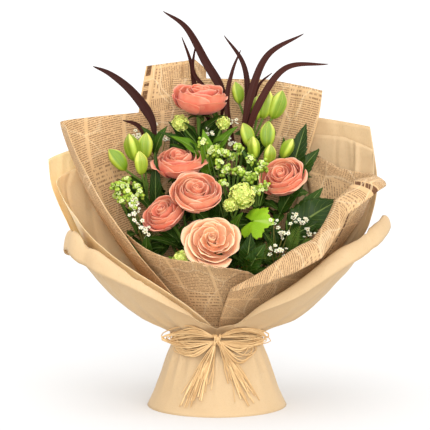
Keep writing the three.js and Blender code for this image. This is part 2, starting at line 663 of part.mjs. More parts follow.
// Strap leaves as points from root to tip, with half their width
const STRAPS = [
  { name: "strap_leaves_left", top: [-88, 44, 366], via: [[-50, 34, 228], [-86, 54, 322]],
    blades: [[[[-88, 44, 366], [-92, 42, 398], [-120, 36, 440], [-152, 32, 466], [-175, 30, 476]], 8.5],
      [[[-88, 44, 360], [-112, 44, 392], [-134, 40, 400]], 5]] },
  { name: "strap_leaves_centre", top: [6, 82, 400], via: [[6, 66, 300]],
    blades: [[[[6, 82, 396], [8, 76, 438], [-16, 74, 483], [-46, 68, 534], [-77, 62, 555]], 8],
      [[[4, 86, 396], [-14, 84, 440], [-34, 84, 470], [-31, 80, 508]], 4],
      [[[2, 84, 396], [-30, 89, 440], [-38, 90, 484], [-51, 88, 520]], 4.5]] },
  { name: "strap_leaves_right", top: [34, 44, 366], via: [[14, 30, 250]],
    blades: [[[[36, 42, 358], [46, 40, 428], [72, 50, 492], [124, 58, 523]], 7],
      [[[38, 40, 364], [58, 36, 420], [98, 50, 474], [160, 64, 480]], 6.5],
      [[[33, 46, 360], [44, 54, 436], [37, 62, 482], [10, 66, 521]], 6],
      [[[31, 42, 364], [14, 40, 424], [22, 50, 470], [34, 58, 500]], 5],
      [[[38, 46, 356], [50, 78, 420], [62, 80, 452], [80, 80, 468]], 5]] },
];

const SNOWBALLS = [
  { name: "snowball_back", top: [-12, 34, 346], via: [[-10, 18, 240]],
    heads: [{ at: [-52, 32, 396], radius: 11, florets: 12 }, { at: [9, 24, 396], radius: 9, florets: 10 }],
    leaves: [[0.9, [-40, 30, 372], 11], [0.95, [16, 36, 376], 10]] },
  { name: "snowball_middle", top: [22, -24, 262], via: [],
    heads: [{ at: [34, -42, 297], radius: 17, florets: 20 }, { at: [17, -57, 286], radius: 8, florets: 8 }],
    leaves: [[0.85, [36, -46, 276], 10]],
    lobed: [[[38, -34, 256], [68, -56, 272], [0.1, -0.8, 0.6]]] },
  { name: "snowball_low", top: [-40, -52, 196], via: [],
    heads: [{ at: [-48, -78, 214], radius: 11, florets: 12 }], leaves: [[0.85, [-66, -74, 218], 12]] },
];

// Sprays: a fork and the middle points of what their twigs carry
const LIME = [
  { name: "lime_spray_centre", top: [20, 2, 298], via: [],
    tips: [[-2, 14, 359], [14, 4, 352], [30, 6, 359], [46, 2, 345], [2, 0, 338], [15, -10, 332], [32, -14, 329],
      [8, -22, 312], [24, 18, 346]] },
  { name: "lime_spray_right", top: [54, -14, 286], via: [],
    tips: [[58, -10, 330], [46, -18, 320], [40, -24, 306], [54, -30, 302], [66, -24, 310]] },
  { name: "lime_spray_left", top: [-116, 4, 272], via: [[-62, 4, 190]],
    tips: [[-136, -8, 309], [-124, -6, 316], [-112, -4, 308], [-108, -14, 298], [-137, -15, 295], [-126, -20, 300],
      [-117, -24, 289]] },
];

const WAXFLOWERS = [
  { name: "waxflower_back", top: [4, 46, 340], via: [[2, 26, 240]],
    tips: [[-14, 24, 380], [16, 34, 374], [26, 28, 366], [20, 44, 398]] },
  { name: "waxflower_left", top: [-84, 56, 336], via: [[-60, 48, 240]],
    tips: [[-112, 48, 378], [-90, 58, 386], [-74, 48, 372]] },
  { name: "waxflower_low_left", top: [-100, -22, 232], via: [],
    tips: [[-111, -27, 286], [-114, -34, 272], [-109, -46, 259], [-98, -52, 249]] },
  { name: "waxflower_right", top: [78, -46, 212], via: [],
    tips: [[77, -60, 260], [90, -66, 248], [72, -76, 228], [86, -80, 226], [104, -48, 267], [116, -46, 260],
      [126, -46, 245]] },
];

const GLOSSY = [
  { name: "glossy_leaves_back", top: [104, 44, 330], via: [[60, 30, 222]],
    leaves: [[0.96, [128, 52, 396], 14], [0.9, [148, 52, 360], 13], [0.85, [96, 66, 376], 12]] },
  { name: "glossy_leaves_right", top: [96, -22, 262], via: [[60, -8, 190]],
    leaves: [[0.97, [164, -2, 290], 17], [0.9, [150, 18, 306], 13], [0.85, [146, -36, 262], 14]] },
  { name: "glossy_leaves_left", top: [-96, -30, 216], via: [],
    leaves: [[0.95, [-122, -50, 232], 12], [0.86, [-118, -4, 240], 12]] },
  { name: "broad_leaf_front", top: [40, -56, 206], via: [],
    leaves: [[0.97, [46, -72, 250], 14]] },
];

const FERNS = [
  { name: "fern_right", top: [100, -50, 214], via: [], fronds: [[136, -64, 236], [112, -62, 256]] },
  { name: "fern_front", top: [48, -46, 196], via: [], fronds: [[66, -84, 216], [80, -66, 232]] },
];

// Each plant as a node: what cuts its neighbours, and soft parts that are cut wherever they would touch

function leafOn(path, [share, tip, width], rows, extra) {
  const root = path.curve.getPointAt(share);
  return leaf({ root, tip: V(...tip), half: ovate(width), rows }, extra);
}

function rosePlant(plant, path) {
  const way = V(...plant.axis).normalize();
  return {
    core: (extra) => [stemRod(path, STEM_R, extra, HIP_SHARE)],
    trim: (extra) => [
      ...calyx(path.line.at(-1), way, plant.size, extra),
      ...plant.leaves.map((row) => leafOn(path, row, 3, extra)),
    ],
  };
}

function lilyPlant(plant, path) {
  return {
    core: (extra) => [
      stemRod(path, STEM_R, extra),
      ...plant.buds.map(([at, axis, size], k) => (
        lilyBud(path.curve.getPointAt(1 - FORK_STEP * (k + 0.5)), { at, axis, size }, extra)
      )),
    ],
    trim: (extra) => plant.leaves.map((row) => leafOn(path, row, 3, extra)),
  };
}

function strapLeaf([points, half], extra) {
  const curve = new THREE.CatmullRomCurve3(points.map((point) => V(...point)), false, "centripetal");
  const rows = 4;
  const at = (i, j) => {
    const v = j / rows;
    const way = curve.getTangentAt(v);
    const side = way.clone().cross(V(0, -1, 0.25)).normalize();
    const width = Math.max(half * Math.min(1, 0.12 + v * 2.6, (1.02 - v) * 2.6), 0.6);
    return curve.getPointAt(v).addScaledVector(side, (i - 1) * width).add(V(0, i === 1 ? 1.6 : 0, 0));
  };
  return blade(at, 2, rows, 1, false, extra);
}

function strapPlant(plant, path) {
  return {
    core: (extra) => [
      stemRod(path, STEM_R, extra, 1),
      ...plant.blades.map(([points, half], k) => {
        const root = path.curve.getPointAt(1 - FORK_STEP * (2.5 * k + 0.4));
        return strapLeaf([[root.toArray(), ...points.slice(1)], half], extra);
      }),
    ],
    trim: () => [],
  };
}

function snowballPlant(plant, path) {
  const fork = path.line.at(-1);
  return {
    core: (extra) => [
      stemRod(path, STEM_R, extra),
      ...plant.heads.flatMap((head) => [...snowball(head, extra), twig(fork, V(...head.at), 1.6, extra)]),
    ],
    trim: (extra) => [
      ...plant.leaves.map((row) => leafOn(path, row, 3, extra)),
      ...(plant.lobed ?? []).flatMap(([root, tip, face]) => [
        lobedLeaf({ root: V(...root), tip: V(...tip), face: V(...face) }, extra),
        twig(fork, V(...root).lerp(V(...tip), 0.4), 1.2, extra),
      ]),
    ],
  };
}

function sprayPlant(plant, path, tipSolid) {
  return {
    core: (extra) => [stemRod(path, 2, extra, 0.7)],
    trim: (extra) => plant.tips.map((tip, k) => {
      const root = path.curve.getPointAt(1 - FORK_STEP * (k + 0.4));
      return tipSolid(root, V(...tip), extra);
    }),
  };
}

const BEAD_OUTLINE = [[0.9, -4.6], [4.6, 0], [1.4, 4.6]];
const beadTip = (root, tip, extra) => (
  budOnTwig(root, tip, tip.clone().sub(root).normalize(), BEAD_OUTLINE, 0.9, 3, extra)
);
const BLOSSOM_R = 6;
const BLOSSOM_FACE = V(0.1, -0.8, 0.6).normalize();
const waxTip = (root, tip, extra) => blossomOnTwig(root, tip, BLOSSOM_FACE, BLOSSOM_R, 0.9, extra);

function leafyPlant(plant, path) {
  return {
    core: (extra) => [stemRod(path, 2.2, extra, 0.7)],
    trim: (extra) => plant.leaves.map(([share, tip, width]) => {
      const root = path.curve.getPointAt(share);
      return leaf({ root, tip: V(...tip), half: toothed(width, 4), rows: 4, thick: 0.9 }, extra);
    }),
  };
}

function fernPlant(plant, path) {
  const fork = path.line.at(-1);
  const rows = 6;
  const half = (v) => {
    const tooth = Math.round(v * rows) % 2 ? 1 : 0.25;
    return Math.max(9 * Math.sin(Math.PI * (0.12 + 0.85 * v)), 1) * tooth;
  };
  return {
    core: (extra) => [stemRod(path, 1.8, extra, 0.7)],
    trim: (extra) => plant.fronds.map((tip) => (
      leaf({ root: fork, tip: V(...tip), half, rows, droop: 0.16 }, extra)
    )),
  };
}

// Gathers all plants, hands out the places in the binding and works out the stems
function plantStems() {
  const roses = ROSES.map((rose) => {
    const way = V(...rose.axis).normalize();
    const top = V(...rose.at).addScaledVector(way, -ROSE_BELOW * rose.size);
    return { ...rose, top: top.toArray(), arrive: way, make: rosePlant, colour: "stem" };
  });
  const spray = (tipSolid) => (plant, path) => sprayPlant(plant, path, tipSolid);
  const all = [
    ...roses.map((rose) => ({ ...rose, name: `${rose.name}_stem` })),
    ...LILIES.map((plant) => ({ ...plant, make: lilyPlant, colour: "lily" })),
    ...STRAPS.map((plant) => ({ ...plant, make: strapPlant, colour: "strap" })),
    ...SNOWBALLS.map((plant) => ({ ...plant, make: snowballPlant, colour: "snowball" })),
    ...GLOSSY.map((plant) => ({ ...plant, make: leafyPlant, colour: "leaf" })),
    ...LIME.map((plant) => ({ ...plant, make: spray(beadTip), colour: "lime" })),
    ...WAXFLOWERS.map((plant) => ({ ...plant, make: spray(waxTip), colour: "waxflower" })),
    ...FERNS.map((plant) => ({ ...plant, make: fernPlant, colour: "fern" })),
  ];
  const random = stream(5);
  const slots = bindingSlots().slice(0, all.length);
  const reach = (plant) => Math.hypot(plant.top[0], plant.top[1] * 1.6) / (plant.top[2] - TIE_Z);
  const order = [...all].sort((a, b) => reach(b) - reach(a));
  for (const plant of order) {
    const scale = 42 / (plant.top[2] - TIE_Z);
    const ideal = [plant.top[0] * scale, plant.top[1] * scale];
    const distance = (slot) => Math.hypot(slot[0] - ideal[0], slot[1] - ideal[1]);
    slots.sort((a, b) => distance(a) - distance(b));
    plant.slot = slots.shift();
    plant.ideal = ideal;
    plant.foot = 7 + 8 * random();
  }
  untangle(all);
  return all;
}

// Swaps places in the binding while that brings two stems nearer to the way they lead
function untangle(plants) {
  const miss = (plant, slot) => (slot[0] - plant.ideal[0]) ** 2 + (slot[1] - plant.ideal[1]) ** 2;
  let better = true;
  while (better) {
    better = false;
    plants.forEach((one, i) => plants.slice(i + 1).forEach((other) => {
      const now = miss(one, one.slot) + miss(other, other.slot);
      if (miss(one, other.slot) + miss(other, one.slot) < now - 1e-6) {
        [one.slot, other.slot] = [other.slot, one.slot];
        better = true;
      }
    }));
  }
}

const COLOURS = {
  kraft: [0xd9b27c, 0.85], newsprint: [0xb98f5f, 0.9], raffia: [0xcaa466, 0.8], string: [0xb8a98a, 0.8],
  rose: [0xe8836a, 0.6], stem: [0x3f6b2a, 0.6], lily: [0x9db84a, 0.5], strap: [0x3a1a20, 0.45],
  snowball: [0xb9cf5a, 0.7], leaf: [0x2c5a26, 0.4], lime: [0x9ccc3c, 0.5], waxflower: [0xf2ead8, 0.7],
  fern: [0x35571f, 0.7],
};
const MATERIALS = Object.fromEntries(
  Object.entries(COLOURS).map(([name, [color, roughness]]) => [
    name, new THREE.MeshStandardMaterial({ color, roughness, metalness: 0 }),
  ]),
);
const SIMPLER = 0.08; // slivers thinner than this are taken out

const bouquet = new THREE.Group();

function addNode(name, material, solid) {
  const body = mainBody(mainBody(solid).simplify(SIMPLER));
  const mesh = new THREE.Mesh(geometryFrom(body), MATERIALS[material]);
  mesh.name = name;
  bouquet.add(mesh);
}

// A ring that holds the stems under the wrap
function bindingString() {
  const frame = new THREE.Matrix4().makeScale(1, 0.6, 1).setPosition(0, 0, TIE_Z - 2);
  const section = [];
  for (let k = 0; k <= 4; k += 1) {
    const turn = (2 * Math.PI * k) / 4;
    section.push([24.5 + 1.5 * Math.cos(turn), 2 * Math.sin(turn)]);
  }
  return turned(section, 14, frame);
}

function buildBouquet() {
  const papers = [outerSheet(), ...SHEETS.map((row) => sheet(row))];
  const level = papers[0].trimByPlane([0, 0, 1], 0);
  addNode("kraft_sheet_outer", "kraft", level);
  SHEETS.forEach((row, k) => addNode(row.name, row.paper, papers[k + 1]));
  addNode("raffia_bow", "raffia", join(raffia()));

  const plants = plantStems().map((plant) => {
    const path = stemPath({ ...plant, top: V(...plant.top) });
    return { ...plant, ...plant.make(plant, path) };
  });
  const wrapped = join([outerSheet(CLEAR), ...SHEETS.map((row) => sheet(row, CLEAR))]);
  const blooms = ROSES.map((rose) => join(roseBloom(rose, 0)));
  const bloomRooms = ROSES.map((rose) => join(roseBloom(rose, CLEAR)));
  const cores = plants.map((plant) => join(plant.core(0)));
  const coreRooms = plants.map((plant) => join(plant.core(CLEAR)));
  const string = bindingString();

  // Blooms first, then stems, buds and heads, then leaves and twigs, each cut by what came before it
  const finished = [];
  ROSES.forEach((rose, k) => {
    const before = bloomRooms.slice(0, k);
    finished.push([rose.name, "rose", blooms[k].subtract(join([wrapped, ...before]))]);
  });
  const heads = join(bloomRooms);
  const trimRooms = [];
  plants.forEach((plant, k) => {
    const core = cores[k].subtract(join([wrapped, heads, ...coreRooms.slice(0, k)]));
    const soft = plant.trim(0);
    if (!soft.length) {
      finished.push([plant.name, plant.colour, core]);
      return;
    }
    const others = coreRooms.filter((_, i) => i !== k);
    const trim = join(soft).subtract(join([wrapped, heads, ...others, ...trimRooms]));
    trimRooms.push(join(plant.trim(CLEAR)));
    finished.push([plant.name, plant.colour, core.add(trim)]);
  });
  finished.forEach(([name, material, solid]) => addNode(name, material, solid));
  addNode("binding_string", "string", string);
}

buildBouquet();

// The origin is at the middle of the underside of the box round the bouquet
const box = new THREE.Box3().setFromObject(bouquet);
const middle = box.getCenter(V(0, 0, 0));
for (const mesh of bouquet.children) mesh.geometry.translate(-middle.x, -middle.y, -box.min.z);

export default bouquet;
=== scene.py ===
# %% [markdown]
# # A mixed flower bouquet in a paper wrap
# Coral roses, lily buds, snowball heads, small filler flowers and dark strap leaves stand in nested sheets
# of printed newsprint and plain kraft paper. The wrap is pinched at a waist, tied with raffia, and its
# flared skirt is the foot that the bouquet stands on.
#
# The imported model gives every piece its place. Each plain solid is replaced by a finer surface that is
# worked out with numpy on the same formulas, so both have the same form.

# %% Load the frame
import math

import bpy
import numpy as np
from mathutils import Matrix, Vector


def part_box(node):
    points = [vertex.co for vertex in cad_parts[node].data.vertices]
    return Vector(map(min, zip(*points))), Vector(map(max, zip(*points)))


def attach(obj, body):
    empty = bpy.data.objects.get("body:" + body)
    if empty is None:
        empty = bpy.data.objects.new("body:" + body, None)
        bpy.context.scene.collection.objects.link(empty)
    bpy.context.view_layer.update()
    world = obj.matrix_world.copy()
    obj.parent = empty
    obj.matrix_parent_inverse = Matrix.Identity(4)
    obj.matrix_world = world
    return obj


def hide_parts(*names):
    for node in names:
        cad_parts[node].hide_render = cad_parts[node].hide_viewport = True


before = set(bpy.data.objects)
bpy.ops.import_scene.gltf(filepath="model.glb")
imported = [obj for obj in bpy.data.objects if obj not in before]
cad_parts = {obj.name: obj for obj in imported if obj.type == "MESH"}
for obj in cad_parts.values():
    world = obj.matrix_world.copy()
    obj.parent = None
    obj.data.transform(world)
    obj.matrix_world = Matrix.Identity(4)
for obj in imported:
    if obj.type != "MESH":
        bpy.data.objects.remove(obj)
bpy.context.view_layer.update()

MM = 0.001
TIE_Z = 100.0  # height of the tie above the hem of the skirt, in millimetres
string_low, string_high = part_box("binding_string")
AXIS_X = (string_low.x + string_high.x) / 2  # the axis of the wrap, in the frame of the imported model
AXIS_Y = (string_low.y + string_high.y) / 2
print("wrap axis at", round(AXIS_X, 5), round(AXIS_Y, 5))

# %% [markdown]
# ## Camera
# The photograph is taken from in front and a little above the middle, from far enough away that the bouquet
# shows almost no perspective, so a long lens at two metres gives the same picture.

# %% Camera
CAMERA_AT = (-2.8, -2000.0, 425.0)
CAMERA_LOOKS_AT = (-2.8, 0.0, 268.0)
LENS, SENSOR = 119.97, 36.0


def place(points):
    """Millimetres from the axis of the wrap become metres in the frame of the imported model."""
    return np.asarray(points, float) * MM + (AXIS_X, AXIS_Y, 0.0)


def add_object(name, data):
    """A new object in the scene."""
    made = bpy.data.objects.new(name, data)
    bpy.context.scene.collection.objects.link(made)
    return made


def make_camera():
    """A camera that looks from one point to another at the same x."""
    data = bpy.data.cameras.new("camera")
    data.lens = LENS
    data.sensor_width = SENSOR
    camera = add_object("camera", data)
    _, depth, height = np.subtract(CAMERA_LOOKS_AT, CAMERA_AT)
    camera.location = place(CAMERA_AT)
    camera.rotation_euler.x = math.pi / 2 + math.atan2(height, depth)
    bpy.context.scene.camera = camera


make_camera()

# %% [markdown]
# ## Tools for surfaces
# Every new piece is one or more grids of points. A grid is a function of two parameters, worked out for all
# points at once. Each part of a piece is a dictionary of points, faces, a map of the surface, and a tone,
# one number for each point, that the materials read to tint it.

# %% Grids and tubes


def part(points, faces, uv, tone=0.0):
    """One part of a mesh: points, faces as rows of 3 or 4 indices, a map and a tone for each point."""
    points = np.reshape(points, (-1, 3))
    tone = np.broadcast_to(np.reshape(tone, -1), len(points))
    return {"points": points, "faces": faces, "uv": np.reshape(uv, (-1, 2)), "tone": tone}


def grid_faces(across, along, closed=False):
    """Quads of a grid whose point (i, j) has index i * (along + 1) + j. Closed joins the last column to the
    first."""
    i, j = np.meshgrid(np.arange(across), np.arange(along), indexing="ij")
    columns = across if closed else across + 1
    low, high = i * (along + 1) + j, (i + 1) % columns * (along + 1) + j
    return np.stack([low, high, high + 1, low + 1], axis=-1).reshape(-1, 4)


def grid(surface, across, along, closed=False, tone=0.0):
    """A surface(u, v) on a grid, u from -1 to 1 across and v from 0 to 1 along. (u, v) is its map too."""
    u = -1 + 2 * np.arange(across if closed else across + 1) / across
    u, v = np.meshgrid(u, np.linspace(0, 1, along + 1), indexing="ij")
    return part(surface(u, v), grid_faces(across, along, closed), np.stack([u, v], -1), tone)


def unit(vectors):
    """Vectors divided by their own length."""
    vectors = np.asarray(vectors, float)
    return vectors / np.maximum(np.linalg.norm(vectors, axis=-1, keepdims=True), 1e-9)


def polar(reach, turn, height):
    """Points at a reach from the Z axis, at a turn round it, and at a height."""
    return np.stack([reach * np.cos(turn), reach * np.sin(turn), height], -1)


def arc_lengths(points):
    """The length of the way from the first row of points to each row."""
    steps = np.linalg.norm(np.diff(points, axis=0), axis=-1)
    return np.concatenate([np.zeros_like(steps[:1]), np.cumsum(steps, axis=0)])


def tube(path, radius, sides, reference=(0.0, 1.0, 0.0), tone=0.0, flat=1.0):
    """A tube along a path: a ring round each point, square to the path, with its ends closed by fans. flat
    below 1 makes the ring thinner along the reference direction."""
    rows = len(path)
    way = unit(np.gradient(path, axis=0))
    side = unit(np.cross(way, reference))
    share = np.arange(sides)[:, None] / sides
    turn = 2 * np.pi * share[..., None]
    ring = np.cos(turn) * side + flat * np.sin(turn) * np.cross(side, way)
    points = path + ring * np.broadcast_to(radius, rows)[:, None]
    length = arc_lengths(path) * MM
    uv = np.stack(np.broadcast_arrays(share, length), -1).reshape(-1, 2)
    here = np.arange(sides) * rows
    there = np.roll(here, -1)
    middle = np.full(sides, sides * rows)
    caps = np.array([[middle, there, here], [middle + 1, here + rows - 1, there + rows - 1]])
    points = np.vstack([points.reshape(-1, 3), path[0], path[-1]])
    made = part(points, grid_faces(sides, rows - 1, True), np.vstack([uv, (0, 0), (0, length[-1])]), tone)
    return {**made, "extra": caps.transpose(0, 2, 1).reshape(-1, 3)}


def scattered(shape, matrices, offsets, sizes=1.0, tones=0.0):
    """Many copies of one part as a single part: all their points are worked out in one array. One matrix,
    size or tone holds for every copy."""
    offsets = np.asarray(offsets, float)
    count, size = len(offsets), len(shape["points"])
    matrices = np.broadcast_to(matrices, (count, 3, 3))
    sizes = np.broadcast_to(sizes, count)[:, None, None]
    points = np.einsum("nij,pj->npi", matrices, shape["points"]) * sizes + offsets[:, None, :]
    shift = (np.arange(count) * size)[:, None, None]
    tones = np.broadcast_to(tones, count)[:, None] + shape["tone"]
    blocks = {key: shape[key] + shift for key in ("faces", "extra") if key in shape}
    blocks = {key: block.reshape(-1, block.shape[-1]) for key, block in blocks.items()}
    return {**part(points, None, np.tile(shape["uv"], (count, 1)), tones), **blocks}


def moved(shape, matrix, offset, size=1.0):
    """One copy of a part, scaled, turned by a 3 by 3 matrix and moved."""
    return scattered(shape, matrix, [offset], size)


# %% Meshes and objects


def mesh_object(name, parts, material, replaces=None, thickness=0.0):
    """Joins parts into one mesh, in metres, that rides on the bouquet and stands for the plain solid."""
    starts = np.cumsum([0] + [len(p["points"]) for p in parts])
    blocks = [p[key] + start for p, start in zip(parts, starts) for key in ("faces", "extra") if key in p]
    sizes = np.concatenate([np.full(len(block), block.shape[1]) for block in blocks]).astype(np.int32)
    corners = np.concatenate([block.reshape(-1) for block in blocks]).astype(np.int32)
    points, uv, tone = (np.concatenate([p[key] for p in parts]) for key in ("points", "uv", "tone"))
    mesh = bpy.data.meshes.new(name)
    mesh.vertices.add(len(points))
    mesh.vertices.foreach_set("co", place(points).astype(np.float32).ravel())
    mesh.loops.add(len(corners))
    mesh.loops.foreach_set("vertex_index", corners)
    mesh.polygons.add(len(sizes))
    mesh.polygons.foreach_set("loop_start", (np.cumsum(sizes) - sizes).astype(np.int32))
    mesh.polygons.foreach_set("loop_total", sizes)
    mesh.uv_layers.new(name="surface").data.foreach_set("uv", uv[corners].astype(np.float32).ravel())
    mesh.attributes.new("tone", "FLOAT", "POINT").data.foreach_set("value", tone.astype(np.float32))
    mesh.update(calc_edges=True)
    mesh.validate()
    mesh.polygons.foreach_set("use_smooth", np.full(len(mesh.polygons), True))
    mesh.materials.append(material)
    piece = add_object(name, mesh)
    if thickness:
        wall = piece.modifiers.new("thickness", "SOLIDIFY")
        wall.thickness = thickness * MM
        wall.offset = 0.0
    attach(piece, "root")
    if replaces:
        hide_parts(replaces)
    print(name, len(mesh.polygons), "faces")


# %% Curves and turns


def curve_points(points, shares):
    """A smooth curve through points (centripetal Catmull-Rom), read at shares of its length from 0 to 1."""
    points = np.asarray(points, float)
    control = np.vstack([2 * points[0] - points[1], points, 2 * points[-1] - points[-2]])
    gaps = np.maximum(np.linalg.norm(np.diff(control, axis=0), axis=1) ** 0.5, 1e-4)[:, None]
    p0, p1, p2, p3 = control[:-3], control[1:-2], control[2:-1], control[3:]
    g0, g1, g2 = gaps[:-2], gaps[1:-1], gaps[2:]
    start = ((p1 - p0) / g0 - (p2 - p0) / (g0 + g1) + (p2 - p1) / g1) * g1
    end = ((p2 - p1) / g1 - (p3 - p1) / (g1 + g2) + (p3 - p2) / g2) * g1

    def read(t):
        k = np.minimum((t * len(p1)).astype(int), len(p1) - 1)
        w = (t * len(p1) - k)[:, None]
        bend = -3 * p1[k] + 3 * p2[k] - 2 * start[k] - end[k]
        return p1[k] + start[k] * w + bend * w**2 + (2 * p1[k] - 2 * p2[k] + start[k] + end[k]) * w**3

    fine = np.linspace(0, 1, 401)
    length = arc_lengths(read(fine))
    return read(np.interp(np.asarray(shares) * length[-1], length, fine))


def smooth_read(pairs, x):
    """A smooth curve through [input, output] pairs with slopes taken from each point's neighbours, read at
    x."""
    px, py = np.asarray(pairs, float).T
    low = np.maximum(np.arange(len(px)) - 1, 0)
    high = np.minimum(np.arange(len(px)) + 1, len(px) - 1)
    slope = (py[high] - py[low]) / (px[high] - px[low])
    x = np.clip(x, px[0], px[-1])
    k = np.clip(np.searchsorted(px, x, side="right") - 1, 0, len(px) - 2)
    step = px[k + 1] - px[k]
    t = (x - px[k]) / step
    rise = py[k + 1] - py[k]
    m0, m1 = slope[k] * step, slope[k + 1] * step
    return py[k] + t * m0 + t**2 * (3 * rise - 2 * m0 - m1) + t**3 * (m0 + m1 - 2 * rise)


def ruled(rows, u):
    """Straight lines through rows of [u, values...], read at an array u: one array for each value."""
    at, *values = np.asarray(rows, float).T
    return [np.interp(u, at, value) for value in values]


def turn_to(axis, spin=0.0):
    """A 3 by 3 matrix that turns +Z to an axis the short way, after a spin about +Z in radians."""
    axis = unit(axis)
    x, y, _ = np.cross([0, 0, 1.0], axis)
    k = np.array([[0, 0, y], [0, 0, -x], [-y, x, 0]])
    tilt = np.eye(3) + k + k @ k / (1 + axis[2])
    c, s = math.cos(spin), math.sin(spin)
    return tilt @ np.array([[c, -s, 0], [s, c, 0], [0, 0, 1.0]])


def turns_to(axes, spins=0.0):
    """The same for many axes at once."""
    return [turn_to(axis, spin) for axis, spin in zip(axes, np.broadcast_to(spins, len(axes)))]


def blade_frame(root, tip, face=(0, -0.6, 0.8)):
    """The root of a blade, its length, and as rows of a matrix the ways along, across and out of its
    face."""
    root = np.asarray(root, float)
    length = np.linalg.norm(tip - root)
    way = (tip - root) / length
    side = unit(np.cross(way, face))
    return root, length, np.stack([way, side, np.cross(side, way)])


# %% [markdown]
# ## Tools for materials
# Each finish is a small tree of nodes: a base colour that varies, and a fine bump. Patterns read Object
# coordinates, or the piece's own map where they have to follow a petal, a leaf or a sheet.

# %% Node helpers


def rgb(red, green, blue):
    """A colour as seen on screen, 0 to 255, as the linear values that the shader takes."""
    seen = np.array([red, green, blue]) / 255
    linear = np.where(seen <= 0.04045, seen / 12.92, ((seen + 0.055) / 1.055) ** 2.4)
    return (*linear, 1.0)


class Finish:
    """A new material with its principled shader, and short calls that add the nodes it needs."""

    def __init__(self, name, roughness, **sockets):
        """Each further setting is a socket of the shader, with _ for a space."""
        self.material = bpy.data.materials.new(name)
        self.material.use_nodes = True
        self.nodes = self.material.node_tree.nodes
        self.links = self.material.node_tree.links
        self.shader = self.nodes["Principled BSDF"]
        for socket, value in {"Roughness": roughness, **sockets}.items():
            self.shader.inputs[socket.replace("_", " ")].default_value = value

    def add(self, kind, inputs=(), **settings):
        """A node: its settings, and for each socket a link or a constant."""
        node = self.nodes.new(kind)
        for name, value in settings.items():
            setattr(node, name, value)
        for socket, value in dict(inputs).items():
            if isinstance(value, bpy.types.NodeSocket):
                self.links.new(value, node.inputs[socket])
            else:
                node.inputs[socket].default_value = value
        return node

    def coordinates(self, kind="Object"):
        return self.add("ShaderNodeTexCoord").outputs[kind]

    def axes(self):
        """The piece's own map, across and along."""
        return self.add("ShaderNodeSeparateXYZ", {"Vector": self.coordinates("UV")}).outputs[:2]

    def tone(self):
        return self.add("ShaderNodeAttribute", attribute_name="tone").outputs["Fac"]

    def vector(self, x, y):
        return self.add("ShaderNodeCombineXYZ", {"X": x, "Y": y}).outputs[0]

    def noise(self, vector, scale, detail=3.0, roughness=0.5):
        inputs = {"Vector": vector, "Scale": scale, "Detail": detail, "Roughness": roughness}
        return self.add("ShaderNodeTexNoise", inputs).outputs["Fac"]

    def stretched(self, vector, scale, detail=3.0):
        """A noise whose spots are as long in each direction as the scale there is small."""
        mapped = self.add("ShaderNodeMapping", {"Vector": vector, "Scale": scale}).outputs["Vector"]
        return self.noise(mapped, 1.0, detail)

    def net(self, vector, push_scale, push, scale):
        """The distance to the nearest edge of a net of cells, whose lines a noise makes wander."""
        noise = self.add("ShaderNodeTexNoise", {"Vector": vector, "Scale": push_scale, "Detail": 1.0})
        push = {0: noise.outputs["Color"], "Scale": push}
        push = self.add("ShaderNodeVectorMath", push, operation="SCALE").outputs[0]
        at = self.add("ShaderNodeVectorMath", {0: vector, 1: push}, operation="ADD").outputs[0]
        cells = self.add("ShaderNodeTexVoronoi", {"Vector": at, "Scale": scale}, feature="DISTANCE_TO_EDGE")
        return cells.outputs["Distance"]

    def math(self, operation, a, b=0.0, clamp=False):
        return self.add("ShaderNodeMath", {0: a, 1: b}, operation=operation, use_clamp=clamp).outputs[0]

    def times(self, a, b, clamp=False):
        return self.math("MULTIPLY", a, b, clamp)

    def plus(self, a, b, clamp=False):
        return self.math("ADD", a, b, clamp)

    def shade(self, a, share_a, b, share_b):
        """A sum of two values in given shares, held between 0 and 1."""
        return self.plus(self.times(a, share_a), self.times(b, share_b), clamp=True)

    def between(self, value, low, high):
        """0 on the side of low, 1 on the side of high, smooth between them. low may be the larger."""
        inputs = {"Value": value, "From Min": low, "From Max": high}
        return self.add("ShaderNodeMapRange", inputs, interpolation_type="SMOOTHSTEP").outputs["Result"]

    def blend(self, share, a, b):
        """A colour between a and b, each a socket or a colour as seen on screen."""
        a, b = (rgb(*c) if isinstance(c, tuple) else c for c in (a, b))
        return self.add("ShaderNodeMix", {0: share, 6: a, 7: b}, data_type="RGBA").outputs[2]

    def done(self, colour, height, strength, distance):
        """Links the colour and a bump of a height to the shader, and gives the material back."""
        inputs = {"Height": height, "Strength": strength, "Distance": distance}
        bump = self.add("ShaderNodeBump", inputs)
        self.links.new(colour, self.shader.inputs["Base Color"])
        self.links.new(bump.outputs["Normal"], self.shader.inputs["Normal"])
        return self.material


# %% [markdown]
# ## Kraft paper
# Kraft is a smooth, light tan paper. Its surface shows short fibres, a faint cloudiness, and soft dents
# where hands have bent it, so the finish mixes two tans by a broad noise, adds fine fibres, and bumps both.
# The sheets at the left get a paler copy of this finish, painted light for the shade they stand in, which
# also lets more light through.

# %% Kraft finish
PAPER_DEPTH = dict(Subsurface_Scale=0.003, Subsurface_Radius=(1.0, 0.85, 0.7))  # how light spreads in paper


